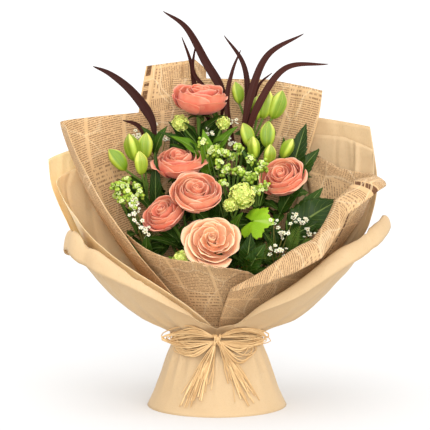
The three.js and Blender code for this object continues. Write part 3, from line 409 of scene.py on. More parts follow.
def kraft_finish(name, dark, light, fibre_colour, through):
    """Two tans mixed by a noise, with fibres; through is the share of light that spreads in the sheet."""
    f = Finish(name, 0.62, Specular_IOR_Level=0.35, Subsurface_Weight=through, **PAPER_DEPTH)
    where = f.coordinates()
    cloud = f.noise(where, 14.0, 4.0)
    fibre = f.stretched(where, (900.0, 900.0, 160.0), 2.0)
    tan = f.blend(cloud, dark, light)
    colour = f.blend(f.times(f.between(fibre, 0.52, 0.75), 0.25), tan, fibre_colour)
    bent = f.between(f.net(where, 12.0, 0.05, 10.0), 0.05, 0.0)
    crease = f.times(bent, f.between(cloud, 0.46, 0.6))
    dents = f.plus(f.noise(where, 30.0, 5.0, 0.55), f.times(fibre, 0.04))
    return f.done(colour, f.plus(dents, f.times(crease, 0.22)), 0.4, 0.004)


KRAFT = kraft_finish("kraft_paper", (194, 163, 123), (208, 179, 139), (171, 140, 99), 0.2)
# A paler copy of the kraft: painted light for the left sheets, which stand in shade between other sheets.
KRAFT_PAINTED_LIGHT = kraft_finish("kraft_paper_painted_light", (238, 198, 148), (250, 214, 166), (218, 178, 128), 0.5)

# %% [markdown]
# ## Newsprint
# The printed sheets are covered with columns of small text and a few larger heading lines. Real words stay
# off the part, so the print is greeked: rows of dark marks of random length that can't be read. The rows
# come from the fractional part of the height on the sheet, the marks from a noise that is stretched along
# each row.

# %% Newsprint finish
LINE_MM, COLUMN_MM, BLOCK_MM = 3.2, 52.0, 31.0  # from one row, one column, one block of text to the next
HEAD_MM, TITLE_MM = 20.0, 14.0  # the blank strip along the edge of a turned page, and the title in it


def newsprint_finish():
    """Columns of marks on tan paper: blocks of small rows, some of headings, and a title at the edge."""
    f = Finish("newsprint_paper", 0.75, Specular_IOR_Level=0.25, Subsurface_Weight=0.3, **PAPER_DEPTH)
    x, y = (f.times(axis, 1 / MM) for axis in f.axes())

    def marks(row_mm, mark_mm, thin, cut):
        """Dark marks on rows: 1 on a mark. The row number moves the noise on, so that no two rows are
        alike."""
        rows = f.math("DIVIDE", y, row_mm)
        within = f.math("FRACT", rows)
        band = f.times(f.between(within, 0.16, 0.26), f.between(within, thin + 0.1, thin))
        at = f.vector(f.math("DIVIDE", x, mark_mm), f.times(f.math("FLOOR", rows), 7.37))
        return f.times(band, f.between(f.noise(at, 1.0, 2.5, 0.7), cut, cut + 0.05))

    columns = f.math("DIVIDE", x, COLUMN_MM)
    within = f.math("FRACT", columns)
    inside = f.times(f.between(within, 0.04, 0.06), f.between(within, 0.97, 0.95))
    small = f.times(marks(LINE_MM, 1.7, 0.72, 0.42), inside)
    block = f.vector(f.math("FLOOR", columns), f.math("FLOOR", f.math("DIVIDE", y, BLOCK_MM)))
    is_heading = f.between(f.noise(block, 3.7, 0.0), 0.62, 0.625)
    heading = marks(6.2, 3.0, 0.62, 0.47)
    printed = f.add("ShaderNodeMix", {0: is_heading, 2: small, 3: heading}, data_type="FLOAT").outputs[0]
    in_head = f.times(f.between(y, -HEAD_MM, 0.5 - HEAD_MM), f.between(y, -0.5, -1.0))
    in_title = f.times(f.between(y, -TITLE_MM, 0.1 - TITLE_MM), in_head)
    title = f.times(marks(TITLE_MM, 5.2, 0.78, 0.45), f.times(in_title, 1.6))
    printed = f.plus(f.times(printed, f.math("SUBTRACT", 1.0, in_head)), title)
    where = f.coordinates()
    cloud = f.noise(where, 12.0, 4.0)
    paper = f.blend(cloud, (194, 156, 112), (214, 178, 134))
    strength = f.times(printed, f.plus(f.times(f.noise(where, 500.0, 2.0), 0.5), 0.38), clamp=True)
    inked = f.blend(strength, paper, (92, 58, 34))
    bent = f.net(where, 22.0, 0.03, 17.0)
    # Along the crinkle lines the paper is lightened towards a pale tan in cloudy patches: a painted
    # highlight where the crinkles catch the light.
    colour = f.blend(f.times(f.between(bent, 0.025, 0.0), f.times(cloud, 0.55)), inked, (240, 216, 180))
    height = f.plus(f.noise(where, 35.0, 5.0, 0.55), f.times(f.between(bent, 0.09, 0.0), 0.35))
    return f.done(colour, height, 0.4, 0.003)


NEWSPRINT = newsprint_finish()

# %% [markdown]
# ## The paper wrap
# Each sheet is a piece of one of two nested cones, one for kraft and one for newsprint. The cone's reach to
# the left, right, front and back is a curve of the height above the tie. A sheet starts at the tie with a
# narrow foot and swings out to its rim. Folds that run up from the pinched waist and small crumples move it
# along its own normal.

# %% Cones of the wrap
FLARE = {  # [rise above the tie, reach from the axis] to each side
    "kraft": {
        "left": [[-101, 98.4], [-10, 62], [0, 60], [12, 82], [24, 107], [55, 146], [88, 173], [125, 198],
                 [160, 216], [205, 238], [250, 250], [300, 256]],
        "right": [[-101, 98.4], [-10, 62], [0, 60], [10, 76], [22, 108], [55, 150], [88, 182], [127, 212],
                  [152, 228], [200, 246], [257, 252], [300, 254]],
        "front": [[-101, 90.6], [-10, 32], [0, 28], [14, 40], [34, 68], [60, 104], [90, 132], [125, 152],
                  [150, 162]],
        "back": [[-101, 90.6], [-10, 32], [0, 28], [30, 52], [100, 84], [200, 112], [300, 130], [400, 142]],
    },
    "newsprint": {
        "left": [[-10, 52], [0, 52.2], [14, 61], [35, 80], [80, 116], [162, 172], [230, 206], [288, 226],
                 [330, 232]],
        "right": [[-10, 51], [0, 51.2], [10, 55], [20, 69], [38, 97], [83, 139], [125, 176], [165, 203],
                  [200, 216], [245, 218], [300, 222], [345, 216]],
        "front": [[-10, 21.6], [0, 21.8], [14, 28], [34, 45], [60, 74], [80, 96], [107, 128], [150, 146]],
        "back": [[-10, 21], [0, 21.2], [30, 29.8], [100, 58], [200, 82], [300, 98], [400, 110]],
    },
}
PITCH = 1.5  # from one nested sheet to the next at the tie
SPREAD, SPREAD_RISE = 3.5, 80.0  # how much further apart they stand, from this rise on
TUCK = 10.0  # how far the sheets reach below the tie
CALM_RISE = 90.0  # below this rise the crumples fade


def flare(paper, side, rise):
    """The reach of a cone to one side."""
    return smooth_read(FLARE[paper][side], rise)


def wrap_base(paper, turn, rise):
    """A point of a cone. The turn is 0 at the front and 90 degrees to the right; the reach across and the
    reach in depth follow their curves of the rise, and a cosine of seven times the turn gives gentle
    facets."""
    a = np.radians(turn)
    wide = np.where(np.sin(a) < 0, flare(paper, "left", rise), flare(paper, "right", rise))
    deep = np.where(np.cos(a) > 0, flare(paper, "front", rise), flare(paper, "back", rise))
    facet = 1 + np.clip(rise / SPREAD_RISE, 0, 1) * 0.012 * np.cos(7 * a)
    return np.stack([wide * np.sin(a) * facet, -deep * np.cos(a) * facet, TIE_Z + rise], -1)


def wrap_point(paper, layer, turn, rise):
    """The same point moved inwards by a number of sheets, which stand further apart above the tie."""
    across = wrap_base(paper, turn + 0.5, rise) - wrap_base(paper, turn - 0.5, rise)
    up = wrap_base(paper, turn, rise + 0.5) - wrap_base(paper, turn, rise - 0.5)
    apart = layer * (PITCH + SPREAD * np.clip(rise / SPREAD_RISE, 0, 1))
    return wrap_base(paper, turn, rise) + unit(np.cross(up, across)) * apart[..., None]


def crumple(points, amount, seed, folds, closed=False):
    """Moves a grid of points along its outward normal: by a sum of slow waves in random directions,
    sharpened so that they meet in creases, times an amount for each point; and by folds that are given for
    each point."""
    rng = np.random.default_rng(seed)
    across = np.roll(points, -1, 0) - np.roll(points, 1, 0) if closed else np.gradient(points, axis=0)
    normal = unit(np.cross(across, np.gradient(points, axis=1)))
    height = np.zeros(points.shape[:2])
    for wavelength, share in ((120.0, 1.0), (64.0, 0.6), (36.0, 0.35), (21.0, 0.18)):
        for _ in range(3):
            way = unit(rng.normal(size=3)) * 2 * np.pi / wavelength
            height += share * (1 - 2 * np.abs(np.sin(points @ way / 2 + rng.uniform(0, 6.28)))) / 3
    return points + normal * (amount * height + folds)[..., None]


def long_creases(turn, rise, seed, count, depth):
    """Creases that run up to the rim: each is a ridge or a groove with straight sides round a turn that
    drifts with the rise, and it grows from nothing a little above the tie."""
    rng = np.random.default_rng(seed)
    height = np.zeros(rise.shape)
    for middle in rng.uniform(turn.min(), turn.max(), count):
        drift, width = rng.uniform(-0.06, 0.06), rng.uniform(2.0, 7.0)
        off = np.abs(turn - middle - drift * rise) / width
        height += rng.uniform(-1, 1) * np.clip(1 - off, 0, 1)
    return depth * height * np.clip((rise - 30) / 70, 0, 1)


# %% Sheets
SHEETS = {  # layer, turns at the foot, power of the swing, rim as [share, turn, rise]
    "kraft_sheet_left_back": (1, (-60, -180), 0.6, [[0, -105, 244], [0.35, -126, 260], [1, -180, 290]]),
    "kraft_sheet_right_back": (2, (75, 180), 0.6, [[0, 117, 290], [0.4, 143, 302], [1, 181, 316]]),
    "kraft_sheet_left": (3, (0, -150), 1.0, [[0, -91, 203], [0.5, -125, 232], [1, -150, 250]]),
    "kraft_sheet_right": (3.5, (90, 150), 1.0, [
        [0, 114, 238], [0.2, 112, 256], [0.6, 130, 274], [1, 150, 278]]),
    "newsprint_sheet_right": (0, (0, 120), 0.9, [
        [0, 8, 76], [0.15, 23, 100], [0.28, 33, 128], [0.38, 42, 142], [0.5, 46, 196], [0.6, 58, 220],
        [0.75, 110, 224], [0.86, 126, 232], [1, 148, 264]]),
    "newsprint_sheet_back_left": (0, (-135, -180), 1.0, [[0, -154, 378], [0.9, -172, 388], [1, -176, 374]]),
    "newsprint_sheet_back_right": (1, (165, 210), 1.0, [[0, 134, 342], [0.6, 160, 358], [1, 196, 360]]),
    "newsprint_sheet_left": (2, (-15, -165), 0.5, [
        [0, -72, 292], [0.2, -96, 296], [0.7, -145, 308], [1, -172, 316]]),
    "newsprint_sheet_front": (3.6, (-45, 60), 0.8, [
        [0, -62, 140], [0.12, -50, 122], [0.3, -32, 104], [0.6, -4, 95], [0.85, 20, 82], [1, 40, 64]]),
}
RIGHT_FLAP = [  # share, how far the rolled rim reaches outwards, how far it hangs down
    [0, 5, 4], [0.15, 10, 14], [0.28, 14, 26], [0.5, 30, 16], [0.6, 38, 10], [0.7, 3, 1], [1, 3, 1],
]
FLAPS = {"newsprint_sheet_right": RIGHT_FLAP}
SHEET_ACROSS, SHEET_UP, FLAP_ROWS = 84, 56, 8
TURNED_PAGES = {"newsprint_sheet_right": (0.6, 1), "newsprint_sheet_back_left": (0.0, -1)}
PAGE_SCALE = 1.15  # how much smaller the print of a turned page is
EDGE_ROWS = 12  # rows of a turned page, along its rim, whose length the print keeps
# The sheets that take the paler kraft, painted light for the shade they stand in
SHEETS_PAINTED_LIGHT = ["kraft_sheet_left", "kraft_sheet_left_back"]
SHEET_THICK = 0.5  # thinner than the solid behind it, so that nested sheets stay apart
CREASES, CREASE_DEPTH, CRUMPLE_DEPTH = 9, 1.9, 1.1  # of one sheet


def surface_map(points, page):
    """A map in metres of a grid of points: the arc length along each row and each column. A page that lies
    on its side is turned by a right angle: page gives the share of the row where its title is, and the side
    to which the title's own text runs on."""
    first_row = -EDGE_ROWS if page else points.shape[1] // 2
    v = arc_lengths(points.swapaxes(0, 1)).T
    u = np.broadcast_to(arc_lengths(points[:, first_row:]).mean(1)[:, None], v.shape)
    if not page:
        return np.stack([u, v + 1.0], -1) * MM
    share, side = page
    title_at = u[round(share * (len(u) - 1)), 0]
    return np.stack([v, side * (u - title_at)], -1) * PAGE_SCALE * MM


def with_flap(points, paper, layer, turn, rise, flap):
    """The grid with more rows: its rim bends outwards and down in a quarter round."""
    out, down = flap
    angle = np.linspace(0, np.pi / 2, FLAP_ROWS + 1)[1:]
    rim = turn[:, -1:], rise[:, -1:]
    away = wrap_point(paper, layer - 1, *rim) - wrap_point(paper, layer, *rim)
    away[..., 2] = 0
    fold = points[:, -1:] + unit(away) * (out[:, None] * np.sin(angle))[..., None]
    fold[..., 2] -= down[:, None] * (1 - np.cos(angle))
    return np.concatenate([points, fold], axis=1)


def sheet_points(node, paper):
    """A sheet as a grid. Share s runs along its foot and rim; the rise goes from below the tie to the rim.
    The turn moves from the foot's to the rim's as a power of the rise."""
    layer, foot, sweep, rim = SHEETS[node]
    s = np.linspace(0, 1, SHEET_ACROSS + 1)
    turn_top, top = ruled(rim, s)
    rise = -TUCK + (top[:, None] + TUCK) * np.linspace(0, 1, SHEET_UP + 1) ** 1.15
    swing = np.clip(rise / top[:, None], 0, 1) ** sweep
    turn = foot[0] + (foot[1] - foot[0]) * s
    turn = turn[:, None] + (turn_top - turn)[:, None] * swing
    points = wrap_point(paper, layer, turn, rise)
    return with_flap(points, paper, layer, turn, rise, ruled(FLAPS[node], s)) if node in FLAPS else points


def paper_piece(node, points, closed=False):
    """A sheet of kraft or newsprint from its grid of points."""
    kraft = node.startswith("kraft")
    # The left sheets take the paler kraft: painted light for their shade.
    material = (KRAFT_PAINTED_LIGHT if node in SHEETS_PAINTED_LIGHT else KRAFT) if kraft else NEWSPRINT
    faces = grid_faces(len(points) - (not closed), points.shape[1] - 1, closed)
    sheet = part(points, faces, surface_map(points, TURNED_PAGES.get(node)))
    mesh_object(f"{node}_paper", [sheet], material, node, thickness=SHEET_THICK)


def make_sheets():
    """All sheets but the outer one; each has its own creases and crumples."""
    for seed, node in enumerate(SHEETS):
        points = sheet_points(node, node.split("_")[0])
        rise = points[..., 2] - TIE_Z
        across = np.linspace(0, 90, len(points))[:, None]
        creases = long_creases(across, rise, seed + 30, CREASES, CREASE_DEPTH)
        amount = CRUMPLE_DEPTH * np.clip(rise / CALM_RISE, 0, 1)
        paper_piece(node, crumple(points, amount, seed + 3, creases))


make_sheets()

# %% [markdown]
# ## The outer sheet
# One kraft sheet goes all round: a flared skirt below the tie, two wings in front and a low back above it.
# It is pinched at the waist, so pleats run up and down from there and die out. They only push outwards above
# the tie, where other sheets lie close inside. The rims of the wings are rolled over into cuffs.

# %% Outer sheet
OUTER_RIM = [  # turn, rise
    [-180, 232], [-140, 170], [-110, 122], [-90, 128], [-70, 152], [-57, 134], [-42, 102], [-32, 78],
    [-21, 50], [-9, 24], [0, 17], [14, 26], [24, 54], [36, 84], [50, 134], [69, 162], [84, 168],
    [110, 136], [140, 166], [180, 232],
]
OUTER_FLAP = [  # turn, how far the folded rim reaches outwards, how far it hangs down
    [-180, 3, 0], [-110, 4, 2], [-80, 8, 24], [-60, 9, 30], [-40, 7, 16], [-15, 4, 2], [0, 3, 0], [15, 4, 2],
    [35, 9, 16], [55, 13, 26], [75, 11, 20], [100, 4, 2], [180, 3, 0],
]
OUTER_ACROSS = 240
SKIRT_ROWS, WING_ROWS = 28, 56
OUTER_CREASES, OUTER_CREASE_DEPTH, OUTER_CRUMPLE_DEPTH = 44, 4.4, 1.3


def pleats(turn, rise):
    """Folds of the pinched waist: a wave of the turn with uneven spacing, squared so that its crests are
    narrow, times a bell of the rise."""
    a = np.radians(turn)
    wave = 0.5 + 0.5 * np.sin(19 * a + 2.2 * np.sin(3 * a + 1) + 1.1 * np.sin(7 * a))
    above = 2.6 * np.exp(-(((rise - 26) / 34) ** 2)) * wave**2
    below = 2.4 * np.exp(-(((rise + 34) / 30) ** 2)) * (wave**2 - 0.3)
    return np.where(rise > 0, above, below)


def outer_points():
    """The outer sheet as a closed grid: rows from the hem to the tie, rows from the tie to the rim, whose
    height is a smooth curve of the turn, and a quarter round for the rolled cuff."""
    turn = (-180 + 360 * np.arange(OUTER_ACROSS) / OUTER_ACROSS)[:, None]
    low = np.linspace(-TIE_Z, 0, SKIRT_ROWS + 1) + 0 * turn
    high = smooth_read(OUTER_RIM, turn) * np.linspace(0, 1, WING_ROWS + 1)[1:] ** 1.1
    rise = np.concatenate([low, high], axis=1)
    points = wrap_point("kraft", 0, turn, rise)
    points = with_flap(points, "kraft", 0, turn, rise, ruled(OUTER_FLAP, turn[:, 0]))
    rise = np.concatenate([rise, np.repeat(rise[:, -1:], FLAP_ROWS, axis=1)], axis=1)
    skirt = np.clip(-rise / 60, 0, 1) * np.clip((TIE_Z + rise) / 20, 0, 1)
    amount = OUTER_CRUMPLE_DEPTH * np.where(rise > 0, np.clip(rise / CALM_RISE, 0, 1), skirt)
    folds = pleats(turn, rise) + np.abs(long_creases(turn, rise, 5, OUTER_CREASES, OUTER_CREASE_DEPTH))
    points = crumple(points, amount, 1, folds, closed=True)
    points[:, 0, 2] = 0.0
    return points


paper_piece("kraft_sheet_outer", outer_points(), closed=True)

# %% [markdown]
# ## Raffia
# Raffia is the dried skin of a palm leaf, torn into narrow ribbons. The bow has a band of turns round the
# waist, a knot, loops to both sides and two bunches of loose ends. Each strand is a flattened tube along its
# own smooth curve, and the strands of a bunch differ a little by a seeded draw.

# %% Raffia finish and bow


def fibre_finish(name, dark, light, roughness):
    """A dry fibre: streaks along each strand from a noise stretched along the strand's own map."""
    f = Finish(name, roughness, Specular_IOR_Level=0.3)
    streak = f.stretched(f.coordinates("UV"), (9.0, 60.0, 1.0))
    return f.done(f.blend(f.shade(streak, 0.55, f.tone(), 0.55), dark, light), streak, 0.4, 0.0006)


RAFFIA = fibre_finish("raffia", (172, 128, 78), (246, 212, 158), 0.75)
KNOT = np.array([0.0, -48.0, TIE_Z + 1])
LOOPS = [(-80, 115, 90, 9), (-62, 106, 72, 6), (77, 115, 88, 9), (60, 106, 71, 6)]  # reach, top, bottom, gap
TAILS = [(-36, 12, 3), (-25, 20, 3), (-14, 34, 3), (42, 14, 3), (31, 22, 3), (20, 38, 3)]  # end x, z, gap
LOOP_STRANDS, TAIL_STRANDS, BAND_TURNS, KNOT_TURNS = 17, 11, 9, 12


def before_wrap(x, z, gap):
    """A point a gap in front of the outer sheet, at an x and a height."""
    share = np.clip(x / flare("kraft", "right", z - TIE_Z), -0.93, 0.93)
    return np.array([x, -flare("kraft", "front", z - TIE_Z) * math.sqrt(1 - share * share) - gap, z], float)


def raffia_strand(points, rng, steps=26):
    """A flattened strand of a random width and tone through points."""
    path = curve_points(points, np.linspace(0, 1, steps))
    return tube(path, 0.8 * rng.uniform(0.7, 1.25), 6, tone=rng.uniform(0, 1), flat=0.45)


def raffia_loop(reach, top, bottom, gap, rng):
    """A strand from the knot out to one side and back, a little smaller than its bunch's largest."""
    side = math.copysign(1, reach)
    jog = np.clip(rng.normal(size=(3, 3)) * (3.0, 1.4, 3.4), -5, 5)
    reach = reach * rng.uniform(0.72, 1.0)
    top = TIE_Z + (top - TIE_Z) * rng.uniform(0.25, 1.0)
    bottom = TIE_Z - 4 + (bottom - TIE_Z + 4) * rng.uniform(0.3, 1.0)
    high = before_wrap(reach * 0.5, top, gap) + jog[0]
    end = before_wrap(reach, TIE_Z, 3 + gap)
    end[2] = (top + bottom) / 2 - 3
    low = before_wrap(reach * 0.6, bottom, 3 + gap) + jog[2]
    points = [KNOT + (side * 3, 1, 2), high, end + jog[1] * (0.3, 1, 1), low, KNOT + (side * 2, 1, -4)]
    return raffia_strand(points, rng, 34)


def raffia_tail(x, z, gap, rng):
    """A loose end that hangs from the knot, close in front of the skirt."""
    points = [KNOT + (math.copysign(2, x), 0, -5)]
    x, z = x * rng.uniform(0.95, 1.45) + rng.normal() * 3, z + rng.uniform(-3, 24)
    for share in (0.35, 0.7, 1.0):
        height = KNOT[2] - 8 + (z - KNOT[2] + 8) * share
        points.append(before_wrap(x * share**0.8 + rng.normal() * 1.2, height, gap + rng.uniform(0, 2.5)))
    return raffia_strand(points, rng)


def raffia_band(rng):
    """Turns round the waist, each a little higher than the last and a little askew."""
    parts = []
    turn = np.linspace(-180, 180, 73)
    for k in range(BAND_TURNS):
        rise = -8.5 + 10 * k / (BAND_TURNS - 1) + 1.2 * np.sin(np.radians(turn + rng.uniform(0, 360)))
        path = wrap_point("kraft", 0, turn, rise)
        gap = 3.2 + 0.9 * math.sin(k * 2.1)
        path[:, :2] *= 1 + gap / np.linalg.norm(path[:, :2], axis=1, keepdims=True)
        parts.append(tube(path, 1.25, 6, (0, 0, 1.0), rng.uniform(0, 1), 0.8))
    return parts


def raffia_knot(rng):
    """Short turns over the knot: ovals that lean to one side or the other, so that they cross."""
    parts = []
    turn = np.linspace(0, 2 * np.pi, 25)
    for _ in range(KNOT_TURNS):
        lean, slope, high = rng.uniform(-4, 4), rng.uniform(-0.75, 0.75), 6.5 + rng.uniform(0, 1.6)
        rise = high * np.sin(turn)
        path = np.stack([lean + slope * rise, -3 - 5.2 * np.cos(turn), rise], -1) + KNOT + (0, 4, -2)
        parts.append(tube(path, 0.95, 6, (1.0, 0, 0), rng.uniform(0, 1), 0.7))
    return parts


def make_raffia():
    """The whole bow, strand by strand, from one seeded draw."""
    rng = np.random.default_rng(7)
    parts = raffia_band(rng) + raffia_knot(rng)
    parts += [raffia_loop(*row, rng) for row in LOOPS for _ in range(LOOP_STRANDS)]
    parts += [raffia_tail(*row, rng) for row in TAILS for _ in range(TAIL_STRANDS)]
    mesh_object("raffia_strands", parts, RAFFIA, "raffia_bow")


make_raffia()

# %% Twine round the stems
TWINE = fibre_finish("twine", (150, 130, 92), (206, 190, 150), 0.85)


def make_twine():
    """Three turns of a helix, pressed to the oval of the bundle."""
    turn = np.linspace(0, 6 * np.pi, 181)
    path = polar(24.5 + 0.5 * np.sin(turn * 0.5), turn, TIE_Z - 3 + turn / 9) * (1, 0.6, 1)
    mesh_object("twine_turns", [tube(path, 0.75, 6, (0, 0, 1.0))], TWINE, "binding_string")


make_twine()

# %% [markdown]
# ## Finishes of leaves and petals
# Leaves and petals carry a map of their own: -1 to 1 across and 0 to 1 from root to tip. Veins and paler
# edges are drawn on that map, so they bend with the surface. A tone for each leaf or petal shifts its
# colour.

# %% Leaf finish


def leaf_finish(name, dark, light, roughness, veins=0.35):
    """Two greens mixed by a noise and the tone; a pale midrib, and side veins as slanted waves of the
    map."""
    f = Finish(name, roughness, Specular_IOR_Level=0.14, Subsurface_Weight=0.05, Subsurface_Scale=0.004)
    across, along = f.axes()
    off = f.math("ABSOLUTE", across)
    slant = f.math("SUBTRACT", f.times(along, 9.0), f.times(off, 2.2))
    vein = f.between(f.math("ABSOLUTE", f.math("SINE", f.times(slant, math.pi))), 0.16, 0.0)
    drawn = f.math("MAXIMUM", f.times(vein, 0.6), f.between(off, 0.09, 0.02))
    cloud = f.noise(f.coordinates(), 48.0)
    green = f.blend(f.shade(cloud, 0.6, f.tone(), 0.6), dark, light)
    colour = f.blend(f.times(drawn, veins), green, (176, 196, 110))
    return f.done(colour, f.math("SUBTRACT", f.times(cloud, 0.4), drawn), 0.5, 0.0008)


STEM_GREEN = leaf_finish("stem_green", (58, 88, 30), (112, 140, 58), 0.5, veins=0.0)
ROSE_LEAF = leaf_finish("rose_leaf", (16, 36, 4), (52, 84, 16), 0.45)
GLOSSY_LEAF = leaf_finish("glossy_leaf", (16, 36, 6), (48, 76, 14), 0.36)
BRIGHT_LEAF = leaf_finish("bright_leaf", (88, 136, 10), (144, 182, 34), 0.45, veins=0.45)
SNOWBALL_LEAF = leaf_finish("snowball_leaf", (40, 74, 10), (104, 144, 30), 0.45, veins=0.4)
FERN_GREEN = leaf_finish("fern_green", (34, 54, 18), (92, 118, 40), 0.6, veins=0.1)

# %% [markdown]
# ## Stems
# Every flower keeps its own stem: a straight length through the binding, where all stems stand side by side,
# and a smooth curve from there to its top. A rose's stem ends at the foot of its bloom, along the bloom's
# axis.

# %% Stems
ROSES = {  # place of the heart, way it faces, size, spin, tone of its petals
    "rose_1": ((-24, 36, 429), (0.05, -0.25, 0.97), 1.03, 10, 0.02),
    "rose_2": ((-53, 14, 339), (-0.05, -0.35, 0.93), 0.95, 50, 0.15),
    "rose_3": ((-29, -46, 300), (0.05, -0.66, 0.75), 0.92, 85, 0.36),
    "rose_4": ((-72, -34, 271), (-0.45, -0.55, 0.7), 0.8, 20, 0.2),
    "rose_5": ((-7, -80, 238), (0.05, -0.86, 0.5), 1.03, 65, 0.95),
    "rose_6": ((91, -12, 319), (-0.35, -0.6, 0.72), 0.87, 35, 0.25),
}
ROSE_BELOW = 22.0  # how far the foot of a bloom of size 1 is below its heart
STEM_R = 2.45
BIND_TOP = TIE_Z + 14  # up to here the stems are straight
FORK_STEP = 0.018  # from one fork to the next, as a share of the stem
STEMS = {  # place in the binding, height of the cut end, points on the way up; the foot of a rose comes last
    "rose_1_stem": ((-5.25, 9.09), 12.6, []),
    "rose_2_stem": ((-5.25, 0), 10.6, [(-42, 22, 240)]),
    "rose_3_stem": ((-5.25, -9.09), 13.0, []),
    "rose_4_stem": ((-7.88, -4.55), 12.8, []),
    "rose_5_stem": ((0, -9.09), 8.5, []),
    "rose_6_stem": ((10.5, 0), 10.8, [(84, 10, 262)]),
    "lily_left": ((-10.5, 0), 8.6, [(-62, 18, 222), (-98, 26, 312)]),
    "lily_back": ((5.25, 9.09), 14.5, [(22, 36, 250), (50, 64, 384)]),
    "lily_right": ((7.88, 4.55), 13.9, [(34, 12, 222), (66, 24, 322)]),
    "strap_leaves_left": ((-7.88, 4.55), 11.6, [(-50, 34, 228), (-86, 54, 322), (-88, 44, 366)]),
    "strap_leaves_centre": ((0, 9.09), 10.9, [(6, 66, 300), (6, 82, 400)]),
    "strap_leaves_right": ((2.63, 4.55), 11.3, [(14, 30, 250), (34, 44, 366)]),
    "snowball_back": ((0, 0), 14.3, [(-10, 18, 240), (-12, 34, 346)]),
    "snowball_middle": ((2.63, -4.55), 9.9, [(22, -24, 262)]),
    "snowball_low": ((-10.5, -9.09), 10.8, [(-40, -52, 196)]),
    "glossy_leaves_back": ((13.13, 4.55), 9.3, [(60, 30, 222), (104, 44, 330)]),
    "glossy_leaves_right": ((15.75, 0), 7.4, [(60, -8, 190), (96, -22, 262)]),
    "glossy_leaves_left": ((-13.13, -4.55), 14.8, [(-96, -30, 216)]),
    "broad_leaf_front": ((5.25, -9.09), 7.4, [(40, -56, 206)]),
    "lime_spray_centre": ((-2.63, -4.55), 7.3, [(20, 2, 298)]),
    "lime_spray_right": ((5.25, 0), 10.6, [(54, -14, 286)]),
    "lime_spray_left": ((-13.13, 4.55), 9.3, [(-62, 4, 190), (-116, 4, 272)]),
    "waxflower_back": ((-2.63, 4.55), 10.5, [(2, 26, 240), (4, 46, 340)]),
    "waxflower_left": ((-10.5, 9.09), 8.0, [(-60, 48, 240), (-84, 56, 336)]),
    "waxflower_low_left": ((-15.75, 0), 11.3, [(-100, -22, 232)]),
    "waxflower_right": ((10.5, -9.09), 7.3, [(78, -46, 212)]),
    "fern_right": ((13.13, -4.55), 9.5, [(100, -50, 214)]),
    "fern_front": ((7.88, -4.55), 10.3, [(48, -46, 196)]),
}
for rose, (at, axis, size, _, _) in ROSES.items():
    STEMS[f"{rose}_stem"][2].append(at - ROSE_BELOW * size * unit(axis))


def stem_top(name):
    """The last point of a stem."""
    return STEMS[name][2][-1]


def stem_points(name, shares):
    """The smooth part of a stem, from just under the tie to its top, read at shares of its length."""
    (x, y), _, (*via, top) = STEMS[name]
    arrive = unit(ROSES[name[:6]][1]) if name[:6] in ROSES else np.array([0, 0, 1.0])
    return curve_points([(x, y, TIE_Z - 20), (x, y, BIND_TOP), *via, top - 24 * arrive, top], shares)


def on_stem(name, share):
    """One point of a stem."""
    return stem_points(name, [share])[0]


def stem_tube(name, radius=STEM_R, tip=0.8, hip=0.0):
    """A stem from its cut end to its top: a straight length in the binding and the smooth part above it."""
    shares = np.linspace(0, 1, 34)
    slot, foot, _ = STEMS[name]
    path = np.vstack([(*slot, foot), stem_points(name, shares)])
    width = radius * (1 - (1 - tip) * np.append(0, shares))
    width = width * (0.9 + 0.1 * np.sin(np.arange(len(path)) * 1.3))
    width[-3:] += hip * np.array([0.15, 0.55, 1.0])
    return tube(path, width, 8, tone=0.5)


# %% Leaves
WRAP_MARGINS = {"side": 20.0, "front": 38.0, "back": 18.0}  # room that the sheets take inside the cone
PINCH_RISE = 24.0  # below this rise nothing is pulled in
OPEN_RISE = 118.0  # above this rise the front is open
FAR = 1000.0  # further than any point


def kept_inside(points):
    """Pulls points towards the axis where they would pass the sheets: at each height the wrap is an oval,
    and a point's share of that oval is held below one. In front, above the rim of the front sheet, only the
    sides hold."""
    x, y, rise = points[..., 0], points[..., 1], points[..., 2] - TIE_Z
    wide = np.where(x < 0, flare("newsprint", "left", rise), flare("newsprint", "right", rise))
    front = np.where(rise > OPEN_RISE, FAR, flare("newsprint", "front", rise) - WRAP_MARGINS["front"])
    back = flare("newsprint", "back", rise) - WRAP_MARGINS["back"]
    share = np.hypot(x / (wide - WRAP_MARGINS["side"]), y / np.maximum(np.where(y < 0, front, back), 4.0))
    pull = np.where((rise < PINCH_RISE) | (share < 1), 1.0, 1 / np.maximum(share, 1e-6))
    return np.stack([x * pull, y * pull, points[..., 2]], -1)


def leaf(root, tip, width, seed, teeth=1, depth=0.0, across=12, along=28, **settings):
    """A leaf from root to tip. Its half width is a sine of a power of the share of its length, which puts
    the widest part below the middle, times a saw that drops at each tooth. Across, its two halves rise from
    the midrib; along, it arches by a parabola. Its edge waves by a sine that grows with the distance from
    the midrib."""
    root, length, axes = blade_frame(root, tip, **settings)

    def surface(u, v):
        half = width * np.sin(np.pi * np.clip(v * 0.97 + 0.03, 0, 1) ** 0.8)
        half = half * (1 - depth * (1 - v * teeth % 1))
        ripple = 0.12 * half * u**2 * np.sin(v * 17 + seed * 2.1 + np.sign(u) * 0.8)
        lift = 0.4 * length * v * (1 - v) + 0.25 * np.abs(u * half) + ripple
        return kept_inside(root + np.stack([length * v, u * half, lift], -1) @ axes)

    return grid(surface, across, along, tone=seed * 0.37 % 1)


def leaves_on(node, rows, seed, step=1, **settings):
    """Leaves of one stem: each row gives the share of its length, the tip and the half width."""
    return [
        leaf(on_stem(node, share), tip, width, seed + step * k, **settings)
        for k, (share, tip, width) in enumerate(rows)
    ]


# %% [markdown]
# ## Roses
# A garden rose opens in whorls. The outer petals bend out and their rims roll back; the inner ones stand up
# and wrap round a closed heart. Each petal here is one sheet on polar coordinates of the bloom: its reach
# and its height are smooth curves of the share from root to rim, and its width is an angle that swells and
# narrows.

# %% Rose finish


